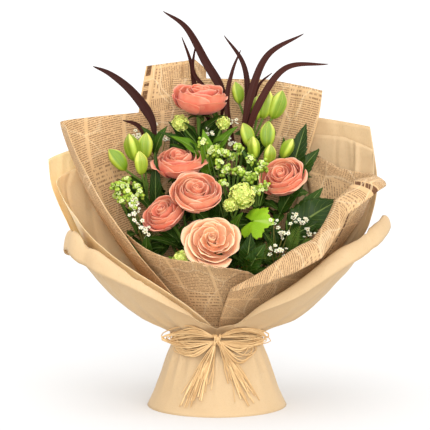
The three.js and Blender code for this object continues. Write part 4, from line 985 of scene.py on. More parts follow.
def rose_finish():
    """Coral petals: darker towards the root, where shade in the depth of the bloom is painted in, and pale
    at the rim, with streaks and blotches; the tone makes them paler."""
    f = Finish("rose_petal", 0.55, Subsurface_Weight=0.25, Subsurface_Scale=0.006,
               Subsurface_Radius=(1.0, 0.45, 0.25), Sheen_Weight=0.15, Sheen_Roughness=0.6)
    along = f.axes()[1]
    tone = f.tone()
    # deep is painted shade: the darker coral of the root and of the depth of the bloom, where shade falls.
    deep = f.blend(tone, (202, 56, 36), (252, 174, 122))
    main = f.blend(tone, (228, 98, 72), (252, 192, 144))
    pale = f.blend(tone, (246, 164, 134), (255, 216, 174))
    streak = f.stretched(f.coordinates("UV"), (16.0, 1.6, 1.0))
    blotch = f.between(f.noise(f.coordinates(), 60.0), 0.4, 0.7)
    shade = f.shade(f.between(along, 0.86, 1.0), 0.6, blotch, 0.3)
    body = f.blend(f.times(streak, 0.28), main, deep)
    # From the root to the middle of each petal, the colour runs from the painted shade to the body.
    colour = f.blend(f.between(along, 0.1, 0.62), deep, f.blend(shade, body, pale))
    return f.done(colour, streak, 0.25, 0.0008)


ROSE = rose_finish()

# %% Rose petals
CUPPED = [  # number, half angle, first turn, twist, roll of the rim, profile as [share, reach, height]
    (5, 48, 0, 3.4, 6.5, [
        [0, 8, 3], [0.2, 18, 5.5], [0.45, 30, 13], [0.7, 35.5, 22.5], [0.88, 38, 28.5], [1, 40.5, 30]]),
    (4, 64, -50, 3.6, 4.6, [
        [0, 7, 4], [0.2, 18, 7], [0.42, 28.5, 14], [0.62, 32.5, 23], [0.82, 31.5, 33], [1, 32, 38]]),
    (3, 80, 5, 4.0, 3.4, [
        [0, 6, 7], [0.25, 17, 11], [0.5, 26, 20], [0.75, 26.5, 31], [0.9, 24.5, 36.5], [1, 25, 38.5]]),
    (3, 80, 60, 3.8, 2.4, [[0, 5, 10], [0.35, 14, 18], [0.7, 20.5, 32], [0.9, 18.5, 39.5], [1, 19, 41]]),
    (3, 92, 10, 2.6, 0.9, [[0, 4, 14], [0.4, 10, 24], [0.8, 13.5, 37], [1, 13.5, 41.5]]),
    (2, 120, 70, 2.2, 0.5, [[0, 4, 18], [0.5, 7, 29], [0.85, 8.2, 38.5], [1, 8.6, 41.5]]),
]
OPEN = [
    (5, 50, 0, 3.2, 5.5, [
        [0, 8, 3], [0.2, 17, 6], [0.45, 26, 14], [0.7, 31.5, 21.5], [0.88, 34.5, 26.5], [1, 36.5, 28]]),
    (4, 60, 40, 3.4, 4.0, [[0, 7, 5], [0.25, 17, 10], [0.5, 25, 18], [0.8, 28.5, 28], [1, 30.5, 31]]),
    (4, 54, 5, 3.8, 2.2, [[0, 6, 8], [0.3, 14, 14], [0.6, 21, 24], [0.85, 23, 32], [1, 24.5, 34.5]]),
    (4, 50, 50, 4.4, 1.2, [[0, 5, 11], [0.35, 12, 18], [0.7, 18, 29], [1, 20, 36]]),
    (3, 70, 20, 4.0, 0.8, [[0, 4, 13], [0.4, 9, 21], [0.8, 13, 33], [1, 14, 37.5]]),
    (3, 80, 80, 3.0, 0.4, [[0, 3, 15], [0.5, 6.5, 26], [0.85, 8.4, 35.5], [1, 9, 38.5]]),
]
OPEN_ROSES = ["rose_5"]
PETAL_WIDTH = [[0, 0.3], [0.3, 0.86], [0.6, 1.0], [1, 0.8]]
CUP = [[0, 3], [0.3, 9.5], [0.7, 9], [1, 6]]


def rose_petal(whorl, k, rng, tone):
    """One petal: angle = middle + half angle * u * width(v). Its corners are lower than its middle. The last
    third rolls outwards and down, most at the corners, and the rim waves by sines of random phase."""
    count, half, first, twist, roll, profile = whorl
    profile = np.array(profile, float)
    middle = math.radians(first + 360 * k / count + rng.uniform(-14, 14))
    half = math.radians(half) * rng.uniform(0.86, 1.1)
    phase = rng.uniform(0, 6.28, 4)
    grow, lean, sink = rng.uniform(0.9, 1.04), rng.uniform(-2.2, 2.2), rng.uniform(-1.8, 1.8)

    def surface(u, v):
        v = v * grow * (1 - 0.1 * np.abs(u) ** 1.3 - 0.17 * np.abs(u) ** 4)
        corner = np.clip((v - 0.7) / 0.3, 0, 1) ** 2 * (0.5 + 0.9 * np.abs(u) ** 1.5)
        reach = smooth_read(profile[:, :2], v) + twist * u * (0.4 + 0.6 * v) + lean * v
        reach += 0.55 * roll * corner + 1.1 * v**3 * np.sin(2.8 * u + phase[0])
        reach += 0.5 * v**5 * np.sin(9 * u + phase[3])
        lift = smooth_read(profile[:, ::2], v) - roll * corner - sink * v
        lift += 1.2 * v**4 * np.sin(3.6 * u + phase[1]) + 0.5 * v**6 * np.sin(11 * u + phase[2])
        return polar(reach, middle + half * u * smooth_read(PETAL_WIDTH, v), lift)

    return grid(surface, 20, 15, tone=np.clip(tone + rng.uniform(-0.14, 0.14), 0, 1))


def rose_heart(tone):
    """The closed heart: a strip wound in a spiral whose reach shrinks as it turns, standing on its edge."""

    def surface(u, v):
        turn = (u + 1) * 1.4 * 2 * np.pi
        reach = (6.8 - 6.4 * ((u + 1) / 2) ** 0.8) * (0.75 + 0.25 * v) * (1 - 0.18 * v**4)
        lift = 24 + 16.2 * v + 0.9 * np.sin(turn * 1.3) * v - 1.4 * (u + 1) * v**4
        return polar(reach + 0.3 * v * np.sin(turn * 1.7), turn, lift)

    return grid(surface, 72, 8, tone=tone)


def rose_cup(tone):
    """The cup that the petals grow from, turned from a short profile."""

    def surface(u, v):
        return polar(smooth_read(CUP, v), u * np.pi, 20 * v + 0.3)

    return grid(surface, 24, 8, closed=True, tone=tone)


def make_roses():
    """Each bloom from its own seeded draw: whorls of petals, the heart and the cup."""
    for seed, (node, (_, axis, size, spin, tone)) in enumerate(ROSES.items()):
        rng = np.random.default_rng(40 + seed)
        whorls = OPEN if node in OPEN_ROSES else CUPPED
        shapes = [rose_petal(whorl, k, rng, tone) for whorl in whorls for k in range(whorl[0])]
        shapes += [rose_heart(tone), rose_cup(tone)]
        matrix = turn_to(axis, math.radians(spin))
        shapes = [moved(shape, matrix, stem_top(f"{node}_stem"), size) for shape in shapes]
        mesh_object(f"{node}_bloom", shapes, ROSE, node, thickness=0.22)


make_roses()

# %% Rose stems, sepals and leaves
ROSE_LEAVES = {  # share of the stem, tip, half width
    "rose_1": [(0.8, (-70, 52, 398), 13), (0.84, (16, 60, 402), 12)],
    "rose_2": [(0.84, (-66, 56, 384), 13)],
    "rose_3": [(0.6, (-52, -30, 226), 11)],
    "rose_4": [(0.7, (-96, -52, 240), 12), (0.75, (-104, -8, 262), 12)],
    "rose_5": [(0.7, (44, -72, 234), 12)],
    "rose_6": [(0.8, (128, 14, 322), 13)],
}


def sepals(node, foot, spin):
    """Five narrow leaves that spread under the bloom and bend down towards their tips."""
    _, axis, size, _, _ = ROSES[node]

    def surface(u, v):
        half = 3.6 * size * np.sin(np.pi * np.clip(v * 0.9 + 0.1, 0, 1)) ** 0.7 * u
        return np.stack([2.5 + 17 * v * size, half, -1.5 + 2.0 * v - 5 * v**3 + 0.8 * np.abs(u)], -1)

    sepal = grid(surface, 4, 10, tone=0.4)
    return [moved(sepal, turn_to(axis, spin + 2 * np.pi * k / 5), foot) for k in range(5)]


def make_rose_stems():
    """A green stem for each bloom, and its leaves as a second piece."""
    for k, (rose, leaves) in enumerate(ROSE_LEAVES.items()):
        node = f"{rose}_stem"
        mesh_object(f"{node}_green", [stem_tube(node, tip=1.0, hip=2.2)], STEM_GREEN, node)
        blades = sepals(rose, stem_top(node), k) + leaves_on(node, leaves, 3 * k, teeth=16, depth=0.08)
        mesh_object(f"{node}_leaves", blades, ROSE_LEAF, node, thickness=0.5)


make_rose_stems()

# %% [markdown]
# ## Lily buds
# A closed lily bud is a plump spindle of three outer sepals. Each has a raised rib, so a cross-section is a
# circle with three soft lobes. Buds are yellow-green; their paler ribs are partly their own colour and
# partly a painted highlight where the ribs catch the light.

# %% Lily finish and buds


def bud_finish():
    """Green with paler ribs and a paler tip, and streaks along the bud."""
    f = Finish("lily_bud", 0.42, Subsurface_Weight=0.12, Subsurface_Scale=0.004)
    across, along = f.axes()
    rib = f.math("COSINE", f.times(across, 3 * math.pi))
    streak = f.stretched(f.coordinates("UV"), (14.0, 1.0, 1.0), 2.0)
    green = f.blend(streak, (78, 114, 12), (140, 168, 34))
    pale = f.blend(f.between(along, 0.45, 1.0), (190, 208, 66), (240, 232, 118))
    # The ribs take the pale colour, yellower towards the tip: partly the bud's own colour, partly a painted
    # highlight on the raised ribs.
    shade = f.shade(f.between(rib, 0.1, 1.0), 0.6, f.tone(), 0.35)
    return f.done(f.blend(shade, green, pale), f.plus(rib, streak), 0.25, 0.0006)


LILY_BUD = bud_finish()
LILIES = {  # buds: middle, way to the tip, size; then the leaves
    "lily_left": ([((-140, 10, 345), (-0.6, -0.1, 0.75), 0.95), ((-119, 16, 362), (-0.25, 0, 1), 1.0),
                   ((-101, 30, 364), (0.05, 0, 1), 0.95), ((-107, 0, 341), (-0.1, -0.2, 1), 0.85)],
                  [(0.8, (-142, 30, 318), 7)]),
    "lily_back": ([((29, 60, 439), (-0.2, 0, 1), 0.8), ((57, 58, 417), (0, -0.1, 1), 0.85),
                   ((69, 58, 424), (0.15, 0, 1), 1.1), ((86, 56, 422), (0.35, 0, 0.95), 1.08)],
                  [(0.8, (92, 78, 388), 7)]),
    "lily_right": ([((42, 34, 379), (-0.3, 0.1, 1), 0.9), ((52, 16, 362), (-0.1, -0.1, 1), 0.8),
                    ((72, 34, 380), (0.05, 0.1, 1), 0.95), ((73, 10, 352), (0.1, -0.3, 0.9), 0.8),
                    ((100, 34, 360), (0.5, 0.1, 0.9), 0.8)],
                   [(0.85, (112, 42, 344), 7)]),
}
BUD = [[0, 1.8], [0.08, 6.0], [0.25, 9.4], [0.5, 10.8], [0.7, 9.9], [0.88, 5.6], [0.96, 2.6], [1, 0.5]]


def lily_bud(seed):
    """A spindle 40 mm long: the reach is a smooth curve of the height, times a wave of three lobes."""

    def surface(u, v):
        lobes = 1 + 0.15 * np.cos(3 * np.pi * u) * np.clip(np.sin(np.pi * v), 0, 1) ** 0.5
        return polar(smooth_read(BUD, v) * lobes, u * np.pi, -20 + 40 * v)

    return grid(surface, 36, 20, closed=True, tone=seed * 0.29 % 1)


def make_lilies():
    """Buds on short stalks that fork from the stem one below the other."""
    for n, (node, (rows, leaves)) in enumerate(LILIES.items()):
        buds, stalks = [], [stem_tube(node)]
        for k, (at, axis, size) in enumerate(rows):
            way = unit(axis)
            buds.append(moved(lily_bud(k + n), turn_to(way, k * 0.7), at, size))
            fork, foot = on_stem(node, 1 - FORK_STEP * (k + 0.5)), at - way * 19.5 * size
            path = curve_points([fork, (fork + foot) / 2 - way * 3, foot], np.linspace(0, 1, 12))
            stalks.append(tube(path, np.linspace(1.5, 1.7, 12), 8, tone=0.8))
        mesh_object(f"{node}_buds", buds, LILY_BUD, node)
        mesh_object(f"{node}_stalks", stalks, STEM_GREEN, node)
        blades = leaves_on(node, leaves, n + 2)
        mesh_object(f"{node}_leaves", blades, ROSE_LEAF, node, thickness=0.5)


make_lilies()

# %% [markdown]
# ## Strap leaves
# The dark blades are long, narrow and folded along the midrib like a shallow gutter, and taper to a thread.
# A blade follows a smooth curve; its half width rises over the first third and fades towards the tip.

# %% Strap leaves


def strap_finish():
    """Burgundy, almost black, with streaks along the blade."""
    f = Finish("strap_leaf", 0.45, Specular_IOR_Level=0.12)
    streak = f.stretched(f.coordinates("UV"), (12.0, 2.0, 1.0))
    colour = f.blend(f.shade(streak, 0.8, f.tone(), 0.3), (24, 8, 6), (74, 32, 22))
    return f.done(colour, streak, 0.35, 0.0006)


STRAP = strap_finish()
STRAPS = {  # points from above the root to the tip, half width
    "strap_leaves_left": [
        ([(-92, 42, 398), (-120, 36, 440), (-152, 32, 466), (-175, 30, 476)], 8.5),
        ([(-112, 44, 392), (-134, 40, 400)], 5.0)],
    "strap_leaves_centre": [
        ([(8, 76, 438), (-16, 74, 483), (-46, 68, 534), (-77, 62, 555)], 8.0),
        ([(-14, 84, 440), (-34, 84, 470), (-31, 80, 508)], 4.0),
        ([(-30, 89, 440), (-38, 90, 484), (-51, 88, 520)], 4.5)],
    "strap_leaves_right": [
        ([(46, 40, 428), (72, 50, 492), (124, 58, 523)], 7.0),
        ([(58, 36, 420), (98, 50, 474), (160, 64, 480)], 6.5),
        ([(44, 54, 436), (37, 62, 482), (10, 66, 521)], 6.0),
        ([(14, 40, 424), (22, 50, 470), (34, 58, 500)], 5.0),
        ([(50, 78, 420), (62, 80, 452), (80, 80, 468)], 5.0)],
}


def strap_blade(points, half, seed, rows=60):
    """A gutter along a curve: two wings that lean forward from a midrib set back by at most 2 mm."""
    path = curve_points(points, np.linspace(0, 1, rows + 1))
    side = unit(np.cross(unit(np.gradient(path, axis=0)), (0, -1, 0.25)))

    def surface(u, v):
        width = 0.84 * half * np.clip(0.12 + 2.6 * v, 0, 1) * np.clip(1 - v**2.6, 0, 1) ** 0.75 + 0.25
        depth = 2.2 * (1 - np.abs(u)) * width / half
        return path + side * (u * width)[..., None] + np.array([0, 1.0, 0]) * depth[..., None]

    return grid(surface, 8, rows, tone=seed * 0.31 % 1)


def make_straps():
    """The blades of each plant grow from its stem one below the other."""
    for n, (node, blades) in enumerate(STRAPS.items()):
        parts = []
        for k, (points, half) in enumerate(blades):
            root = on_stem(node, 1 - FORK_STEP * (2.5 * k + 0.4))
            parts.append(strap_blade([root, *points], half, k + n))
        mesh_object(f"{node}_blades", parts, STRAP, node, thickness=0.5)
        mesh_object(f"{node}_stem", [stem_tube(node, tip=1.0)], STEM_GREEN, node)


make_straps()

# %% [markdown]
# ## Snowball heads
# A viburnum head is a ball of some dozens of small florets with five rounded petals. The florets stand on a
# Fibonacci lattice, which spreads any number of points evenly over a ball, each turned to face outwards.

# %% Snowball heads


def petal_finish(name, centre, rim, roughness=0.55):
    """A small flower: the colour runs from the centre to the rim on its own map, and the tone tints it."""
    f = Finish(name, roughness, Subsurface_Weight=0.15, Subsurface_Scale=0.003)
    cloud = f.noise(f.coordinates(), 160.0, 2.0)
    base = f.blend(f.shade(f.axes()[1], 0.75, f.tone(), 0.3), centre, rim)
    return f.done(f.blend(f.times(cloud, 0.35), base, centre), cloud, 0.3, 0.0005)


SNOWBALL = petal_finish("snowball_floret", (152, 178, 32), (252, 250, 150))
SNOWBALLS = {  # heads: middle, radius, number of florets; then the leaves
    "snowball_back": ([((-52, 32, 396), 11, 60), ((9, 24, 396), 9, 46)],
                      [(0.9, (-40, 30, 372), 13), (0.95, (16, 36, 376), 13), (0.97, (-66, 20, 378), 12),
                       (0.93, (-20, 14, 388), 12), (0.97, (30, 20, 392), 11)]),
    "snowball_middle": ([((34, -42, 297), 17, 120), ((17, -57, 286), 8, 40)], [(0.85, (36, -46, 276), 10)]),
    "snowball_low": ([((-48, -78, 214), 11, 60)], [(0.85, (-66, -74, 218), 12)]),
}


def star(notch=0.34, cup=0.25):
    """A flat flower of radius 1: the reach is scaled by a rectified cosine, so that it has five petals, and
    the height rises with the square of the reach."""

    def surface(u, v):
        lobe = 1 - notch * (1 - np.abs(np.cos(2.5 * np.pi * u)) ** 0.6)
        return polar(v * lobe, u * np.pi, cup * v**2)

    return grid(surface, 20, 3, closed=True)


def fibonacci(count):
    """Directions spread evenly over a ball: heights in equal steps, turned by the golden angle."""
    k = np.arange(count)
    height = 1 - 2 * (k + 0.5) / count
    return polar(np.sqrt(1 - height**2), k * math.pi * (3 - math.sqrt(5)), height)


def ball(across, along):
    """A ball of radius 1."""

    def surface(u, v):
        rise = (v - 0.5) * np.pi
        return polar(np.cos(rise), u * np.pi, np.sin(rise))

    return grid(surface, across, along, closed=True)


def snowball_head(at, radius, count, rng):
    """Florets round a plain ball that closes the gaps between them."""
    ways = fibonacci(count)
    out = radius * rng.uniform(0.86, 1.06, (count, 1))
    size = radius * 2.0 / math.sqrt(count) * rng.uniform(0.8, 1.15, count)
    faces = unit(ways + rng.normal(size=ways.shape) * 0.3)
    florets = scattered(star(0.42, 0.3), turns_to(faces, rng.uniform(0, 6.28, count)), at + ways * out, size,
                        rng.uniform(-0.2, 0.9, count))
    return [florets, moved(ball(20, 12), np.eye(3), at, radius * 0.84)]


def make_snowballs():
    """Heads on straight stalks from the top of the stem, with plain leaves below them."""
    for n, (node, (rows, leaves)) in enumerate(SNOWBALLS.items()):
        rng = np.random.default_rng(60 + n)
        heads = [shape for row in rows for shape in snowball_head(*row, rng)]
        mesh_object(f"{node}_florets", heads, SNOWBALL, node)
        fork = stem_top(node)
        stalks = [stem_tube(node)] + [tube(np.linspace(fork, at, 8), 1.5, 8, tone=0.6) for at, _, _ in rows]
        mesh_object(f"{node}_stalks", stalks, STEM_GREEN, node)
        blades = leaves_on(node, leaves, n + 5)
        mesh_object(f"{node}_leaves", blades, SNOWBALL_LEAF, node, thickness=0.5)


make_snowballs()

# %% [markdown]
# ## Lobed leaf
# One bright leaf with five lobes lies open beside the middle head. Its outline goes round the end of the
# stalk, so it is a curve of the turn there and not of the length.

# %% Lobed leaf
LOBES = np.array([0.7, 0.84, 0.78, 1.0, 0.84, 1.12, 0.84, 1.0, 0.78, 0.84, 0.7])


def lobed_leaf(root, tip, face):
    """Five rounded lobes on polar coordinates round the end of the stalk: the reach at each turn is read
    from a list of lobes and notches, and the blade droops with the square of the reach."""
    root, length, axes = blade_frame(root, tip, face)
    middle = root + axes[0] * length * 0.35

    def surface(u, v):
        at = (u + 1) / 2 * (len(LOBES) - 1)
        k = np.floor(at).astype(int)
        ease = (at - k) ** 2 * (3 - 2 * (at - k))
        low, high = LOBES[k], LOBES[np.minimum(k + 1, len(LOBES) - 1)]
        reach = 1.2 + (low + (high - low) * ease) * length * 0.65 * v * (1 + 0.05 * np.sin(u * 60) * v)
        turn = u * 2.6
        return middle + polar(reach, turn, 1.2 * np.sin(turn * 6) * v**2 - 0.008 * reach**2) @ axes

    blade = grid(surface, 80, 12)
    return {**blade, "tone": 0.3 + 0.6 * blade["uv"][:, 1]}


mesh_object("snowball_middle_lobed_leaf", [lobed_leaf((36, -40, 262), (70, -64, 266), (0.1, -0.86, 0.5))],
            BRIGHT_LEAF, "snowball_middle", thickness=0.5)

# %% [markdown]
# ## Small filler flowers
# Two kinds of spray fill the gaps: lime green buds in tight clusters, and white five-petalled blossoms on
# wiry olive brown twigs. One small flower is modelled and copied to all places as an array.

# %% Lime sprays
LIME = petal_finish("lime_bud", (96, 130, 16), (190, 214, 76), 0.4)
LIME_FLOWER = petal_finish("lime_flower", (150, 176, 50), (236, 238, 176))
TWIG = fibre_finish("twig", (84, 74, 34), (132, 128, 60), 0.6)
LIME_TIPS = {
    "lime_spray_centre": [(-2, 14, 359), (14, 4, 352), (30, 6, 359), (46, 2, 345), (2, 0, 338),
                          (15, -10, 332), (32, -14, 329), (8, -22, 312), (24, 18, 346)],
    "lime_spray_right": [(58, -10, 330), (46, -18, 320), (40, -24, 306), (54, -30, 302), (66, -24, 310)],
    "lime_spray_left": [(-136, -8, 309), (-124, -6, 316), (-112, -4, 308), (-108, -14, 298),
                        (-137, -15, 295), (-126, -20, 300), (-117, -24, 289)],
}
CLUSTER, OPEN_IN_CLUSTER = 11, 3  # buds and open flowers round each tip


def twigs_to(node, tips):
    """The stem of a spray, and a thin twig to each tip from its own fork on the stem."""
    twigs = [stem_tube(node, 2.0, 0.6)]
    for k, tip in enumerate(tips):
        fork = on_stem(node, 1 - FORK_STEP * (k + 0.4))
        path = curve_points([fork, fork * 0.45 + tip * 0.55 - (0, 0, 2.0), tip], np.linspace(0, 1, 9))
        twigs.append(tube(path, np.linspace(0.96, 0.64, 9), 6, tone=0.5))
    return twigs


def threads(starts, ends, radius):
    """Straight thin stalks between two rows of points."""
    return [tube(np.linspace(a, b, 3), radius, 4, (0.3, 1.0, 0.1)) for a, b in zip(starts, ends)]


def make_lime_sprays():
    """Clusters of buds round each tip and as many tips again near them, with open flowers in front."""
    for n, (node, tips) in enumerate(LIME_TIPS.items()):
        rng = np.random.default_rng(80 + n)
        tips = np.asarray(tips, float)
        more = tips[rng.integers(len(tips), size=len(tips))] + rng.normal(size=tips.shape) * (9, 6, 7)
        tips = np.vstack([tips, more])
        count = len(tips)
        ways = unit(rng.normal(size=(count, CLUSTER, 3)) + (0, -0.25, 0.5))
        at = (tips[:, None] + ways * rng.uniform(4.0, 7.5, (count, CLUSTER, 1))).reshape(-1, 3)
        bead = ball(8, 5)
        beads = scattered(bead, turns_to(ways.reshape(-1, 3)), at, rng.uniform(2.0, 3.0, len(at)),
                          rng.uniform(0, 1, len(at)))
        hearts = scattered(bead, np.eye(3), tips, 3.4, 0.2)
        mesh_object(f"{node}_buds", [beads, hearts], LIME, node)
        faces = unit(rng.normal(size=(OPEN_IN_CLUSTER * count, 3)) * 0.5 + (0, -0.8, 0.5))
        open_at = np.repeat(tips, OPEN_IN_CLUSTER, axis=0) + faces * rng.uniform(5, 8.5, (len(faces), 1))
        flowers = scattered(star(cup=0.3), turns_to(faces, rng.uniform(0, 6.28, len(faces))), open_at,
                            rng.uniform(2.2, 3.8, len(faces)), rng.uniform(0, 1, len(faces)))
        mesh_object(f"{node}_flowers", [flowers], LIME_FLOWER, thickness=0.3)
        roots = np.repeat(tips - (0, 0, 3.0), CLUSTER, axis=0)
        stalks = twigs_to(node, tips) + threads(roots, at, 0.35)
        mesh_object(f"{node}_stalks", stalks, STEM_GREEN, node)


make_lime_sprays()

# %% Waxflowers
BLOSSOM = petal_finish("waxflower_petal", (196, 180, 120), (250, 244, 226))
WAX_TIPS = {
    "waxflower_back": [(-14, 24, 380), (16, 34, 374), (26, 28, 366), (20, 44, 398)],
    "waxflower_left": [(-112, 48, 378), (-90, 58, 386), (-74, 48, 372)],
    "waxflower_low_left": [(-111, -27, 286), (-114, -34, 272), (-109, -46, 259), (-98, -52, 249)],
    "waxflower_right": [(77, -60, 260), (90, -66, 248), (72, -76, 228), (86, -80, 226), (104, -48, 267),
                        (116, -46, 260), (126, -46, 245)],
}
BLOSSOM_FACE = np.array([0.1, -0.8, 0.6])
SIDE_BLOSSOMS = 5  # small ones round each large one


def make_waxflowers():
    """A large blossom at each tip and small ones round it, each with an eye in the colour of the twigs."""
    for n, (node, tips) in enumerate(WAX_TIPS.items()):
        rng = np.random.default_rng(90 + n)
        tips = np.asarray(tips, float)
        more = tips[:, None] + unit(rng.normal(size=(len(tips), SIDE_BLOSSOMS, 3)) + (0, -0.3, 0.2)) * 8.5
        more = more.reshape(-1, 3)
        places = np.vstack([tips, more])
        count = len(places)
        sizes = np.concatenate([np.full(len(tips), 4.2), rng.uniform(2.0, 3.5, len(more))])
        ways = unit(BLOSSOM_FACE + rng.normal(size=places.shape) * 0.3)
        flowers = scattered(star(0.42, 0.35), turns_to(ways, rng.uniform(0, 6.28, count)), places, sizes,
                            rng.uniform(0.3, 1, count))
        mesh_object(f"{node}_petals", [flowers], BLOSSOM, node, thickness=0.3)
        eyes = scattered(ball(8, 6), turns_to(ways), places + ways * 0.4, sizes * 0.2, 0.9)
        roots = np.repeat(tips - BLOSSOM_FACE * 3, SIDE_BLOSSOMS, axis=0)
        twigs = twigs_to(node, tips) + [eyes] + threads(roots, more, 0.4)
        mesh_object(f"{node}_twigs", twigs, TWIG, node)


make_waxflowers()

# %% [markdown]
# ## Foliage
# Glossy toothed leaves frame the flowers on all sides; a fine fern fills the front and the right. A frond is
# a rib with leaflets in pairs, copied from one small leaflet.

# %% Glossy leaves
GLOSSY = {  # share of the stem, tip, half width
    "glossy_leaves_back": [
        (0.96, (128, 52, 396), 14), (0.9, (148, 52, 360), 13), (0.85, (96, 66, 376), 12),
        (0.9, (126, 40, 352), 15)],
    "glossy_leaves_right": [
        (0.97, (164, -2, 290), 17), (0.9, (150, 18, 306), 13), (0.85, (146, -36, 262), 14),
        (0.93, (146, -24, 258), 24), (0.9, (166, -16, 288), 27), (0.8, (120, -60, 240), 15)],
    "glossy_leaves_left": [
        (0.95, (-122, -50, 232), 12), (0.86, (-118, -4, 240), 12), (0.9, (-96, -56, 246), 12)],
    "broad_leaf_front": [
        (0.97, (46, -72, 250), 14), (0.9, (66, -74, 236), 13), (0.85, (14, -66, 196), 11)],
}


def make_glossy_leaves():
    """Leaves with nine teeth that face the front."""
    for n, (node, rows) in enumerate(GLOSSY.items()):
        blades = leaves_on(node, rows, n, 4, teeth=9, depth=0.14, across=14, along=60, face=(0, -0.85, 0.5))
        mesh_object(f"{node}_blades", blades, GLOSSY_LEAF, node, thickness=0.5)
        mesh_object(f"{node}_stem", [stem_tube(node, 2.2, 0.6)], STEM_GREEN, node)


make_glossy_leaves()

# %% Filler leaves
BLOOM_CLEAR = 44.0  # how far filler leaves keep from the middle of a bloom of size 1
GAP_LEFT_OF, GAP_BELOW = -80, 235  # no filler leaf ends in the gap at the lower left
HIGH_LEAVES = [  # stem, share of it, tip, half width: those between the blooms of the back
    ("snowball_back", 0.97, (-84, 30, 384), 10), ("snowball_back", 0.96, (-62, 44, 404), 11),
    ("rose_1_stem", 0.86, (-48, 14, 398), 10), ("rose_1_stem", 0.84, (-4, 12, 396), 10),
    ("rose_1_stem", 0.9, (14, 22, 408), 9), ("rose_1_stem", 0.8, (-66, 18, 366), 10),
    ("rose_1_stem", 0.78, (10, 6, 372), 10), ("lily_right", 0.86, (30, 4, 366), 9),
    ("strap_leaves_centre", 0.97, (-24, 62, 424), 9), ("strap_leaves_left", 0.97, (-108, 30, 392), 9),
    ("strap_leaves_left", 0.95, (-70, 30, 392), 10), ("lily_left", 0.8, (-86, 16, 356), 9),
]


def make_filler(count=270):
    """Small dark leaves on all stems but those of the straps, each from a random share of a stem to a random
    place near it. Those that would end in a bloom, outside the wrap or in the gap at the lower left are left
    out. The high leaves are added to them."""
    rng = np.random.default_rng(120)
    names = [name for name in STEMS if not name.startswith("strap")]
    blooms = np.array([row[0] for row in ROSES.values()], float)
    clear = BLOOM_CLEAR * np.array([row[2] for row in ROSES.values()])
    shape = dict(teeth=11, depth=0.1)
    blades = []
    for k in range(count):
        root = on_stem(names[k % len(names)], rng.uniform(0.62, 0.99))
        way = unit(rng.normal(size=3) * (1.0, 0.7, 0.5) + (0, -0.35, 0.55))
        length, width = rng.uniform(24, 48), rng.uniform(7.0, 13.0)
        tip = root + way * length
        middle = (tip + root * 0.3) / 1.3
        near = any((np.linalg.norm(at - blooms, axis=1) < clear).any() for at in (middle, tip))
        in_gap = tip[0] < GAP_LEFT_OF and tip[2] < GAP_BELOW
        if not (near or in_gap or np.linalg.norm(kept_inside(tip) - tip) > 1):
            blades.append(leaf(root, tip, width, k, across=4, along=15, **shape))
    for k, (name, share, tip, width) in enumerate(HIGH_LEAVES):
        blades.append(leaf(on_stem(name, share), tip, width, k, across=6, along=20, **shape))
    print("filler leaves", len(blades))
    mesh_object("filler_leaves", blades, ROSE_LEAF, thickness=0.4)


make_filler()

# %% Ferns
FERNS = {
    "fern_right": [(136, -64, 236), (112, -62, 256)],
    "fern_front": [(66, -84, 216), (80, -66, 232)],
}


def frond(root, tip, pairs=16, reach=13.0, droop=0.16, slim=0.13):
    """A rib that arches by a parabola, with pairs of leaflets that shorten towards the tip."""
    root, length, axes = blade_frame(root, tip)
    way, side, top = axes
    v = np.linspace(0, 1, 24)
    rib = root + np.stack([length * v, 0 * v, length * droop * 4 * v * (1 - v)], -1) @ axes

    def leaflet(u, w):
        return np.stack([w, u * slim * np.sin(np.pi * w * 0.95 + 0.15), 0.10 * w**2], -1)

    at = np.linspace(0.12, 0.98, pairs)
    places = np.stack([np.interp(at, v, values) for values in rib.T], -1)
    size = reach * np.sin(np.pi * (0.16 + 0.8 * at)) ** 0.8
    parts = [tube(rib, np.linspace(0.8, 0.3, 24), 5, tone=0.6)]
    for out in (unit(way * 0.55 - side * 0.85), unit(way * 0.55 + side * 0.85)):
        matrix = np.stack([out, np.cross(top, out), top], axis=1)
        parts.append(scattered(grid(leaflet, 2, 3), matrix, places, size, 0.2 + 0.6 * at))
    return parts


def make_ferns():
    """Two fronds from the top of each stem."""
    for node, tips in FERNS.items():
        parts = [shape for tip in tips for shape in frond(stem_top(node), tip)]
        parts.append(stem_tube(node, 1.8, 0.6))
        mesh_object(f"{node}_fronds", parts, FERN_GREEN, node, thickness=0.3)


make_ferns()

# %% Fine sprigs
SPRIG_ROOTS = {
    "fern_right": 9, "fern_front": 9, "waxflower_right": 9, "glossy_leaves_left": 5, "waxflower_low_left": 5,
}


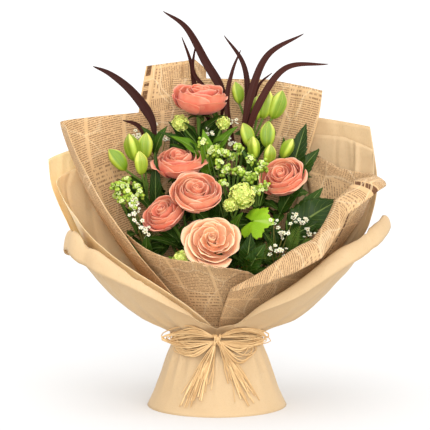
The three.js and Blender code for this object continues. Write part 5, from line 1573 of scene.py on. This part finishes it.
def make_sprigs():
    """Thin arched ribs with many needles, the fine dark green between the flowers of the front."""
    rng = np.random.default_rng(140)
    parts = []
    for node in [node for node, count in SPRIG_ROOTS.items() for _ in range(count)]:
        root = on_stem(node, rng.uniform(0.72, 1.0))
        way = unit(rng.normal(size=3) * (1.0, 0.5, 0.6) + (0.1, -0.5, 0.7))
        tip = kept_inside(root + way * rng.uniform(26, 48))
        parts += frond(root, tip, pairs=22, reach=7.5, droop=0.2, slim=0.07)
    mesh_object("fine_sprigs", parts, FERN_GREEN)


make_sprigs()

# %% [markdown]
# ## Floor and light
# The photograph is a cut-out on white with a soft contact shadow, lit softly from in front and above. A
# white floor under a bright sky and three broad suns give the same picture. The floor's grey is chosen so
# that it comes out just white in the open and darker only where the skirt shades it.

# %% Floor and light
FLOOR_REACH, FLOOR_GREY, SKY_STRENGTH = 6000, 0.73, 1.15
SUNS = [  # name, way towards it, strength, spread in degrees, colour
    ("key", (0.04, -0.96, 0.24), 1.2, 24, (1.0, 0.985, 0.96)),
    ("fill", (0.6, -0.72, 0.34), 0.6, 40, (1, 1, 1)),
    ("top", (-0.06, -0.42, 0.9), 0.75, 50, (1, 1, 1)),
]


def make_floor():
    """One square at the height of the hem."""
    f = Finish("floor", 0.9, Base_Color=(FLOOR_GREY, FLOOR_GREY, FLOOR_GREY, 1), Specular_IOR_Level=0.0)
    corners = np.array([(-1, -1, 0), (1, -1, 0), (1, 1, 0), (-1, 1, 0)]) * FLOOR_REACH
    mesh = bpy.data.meshes.new("floor")
    mesh.from_pydata(place(corners).tolist(), [], [(0, 1, 2, 3)])
    mesh.materials.append(f.material)
    floor = add_object("floor", mesh)


def make_sun(name, towards, strength, spread, colour):
    """A sun that shines from a direction; its spread is how large it looks, which softens its shadows."""
    data = bpy.data.lights.new(name, "SUN")
    data.energy = strength
    data.angle = math.radians(spread)
    data.color = colour
    x, y, z = unit(towards)
    add_object(name, data).rotation_euler = (math.acos(z), 0, math.atan2(x, -y))


def make_sky():
    """A plain white sky."""
    world = bpy.data.worlds.new("sky")
    world.use_nodes = True
    sky = world.node_tree.nodes["Background"].inputs
    sky["Color"].default_value = (1, 1, 1, 1)
    sky["Strength"].default_value = SKY_STRENGTH
    bpy.context.scene.world = world


make_floor()
make_sky()
for sun in SUNS:
    make_sun(*sun)
bpy.context.scene.view_settings.view_transform = "Standard"
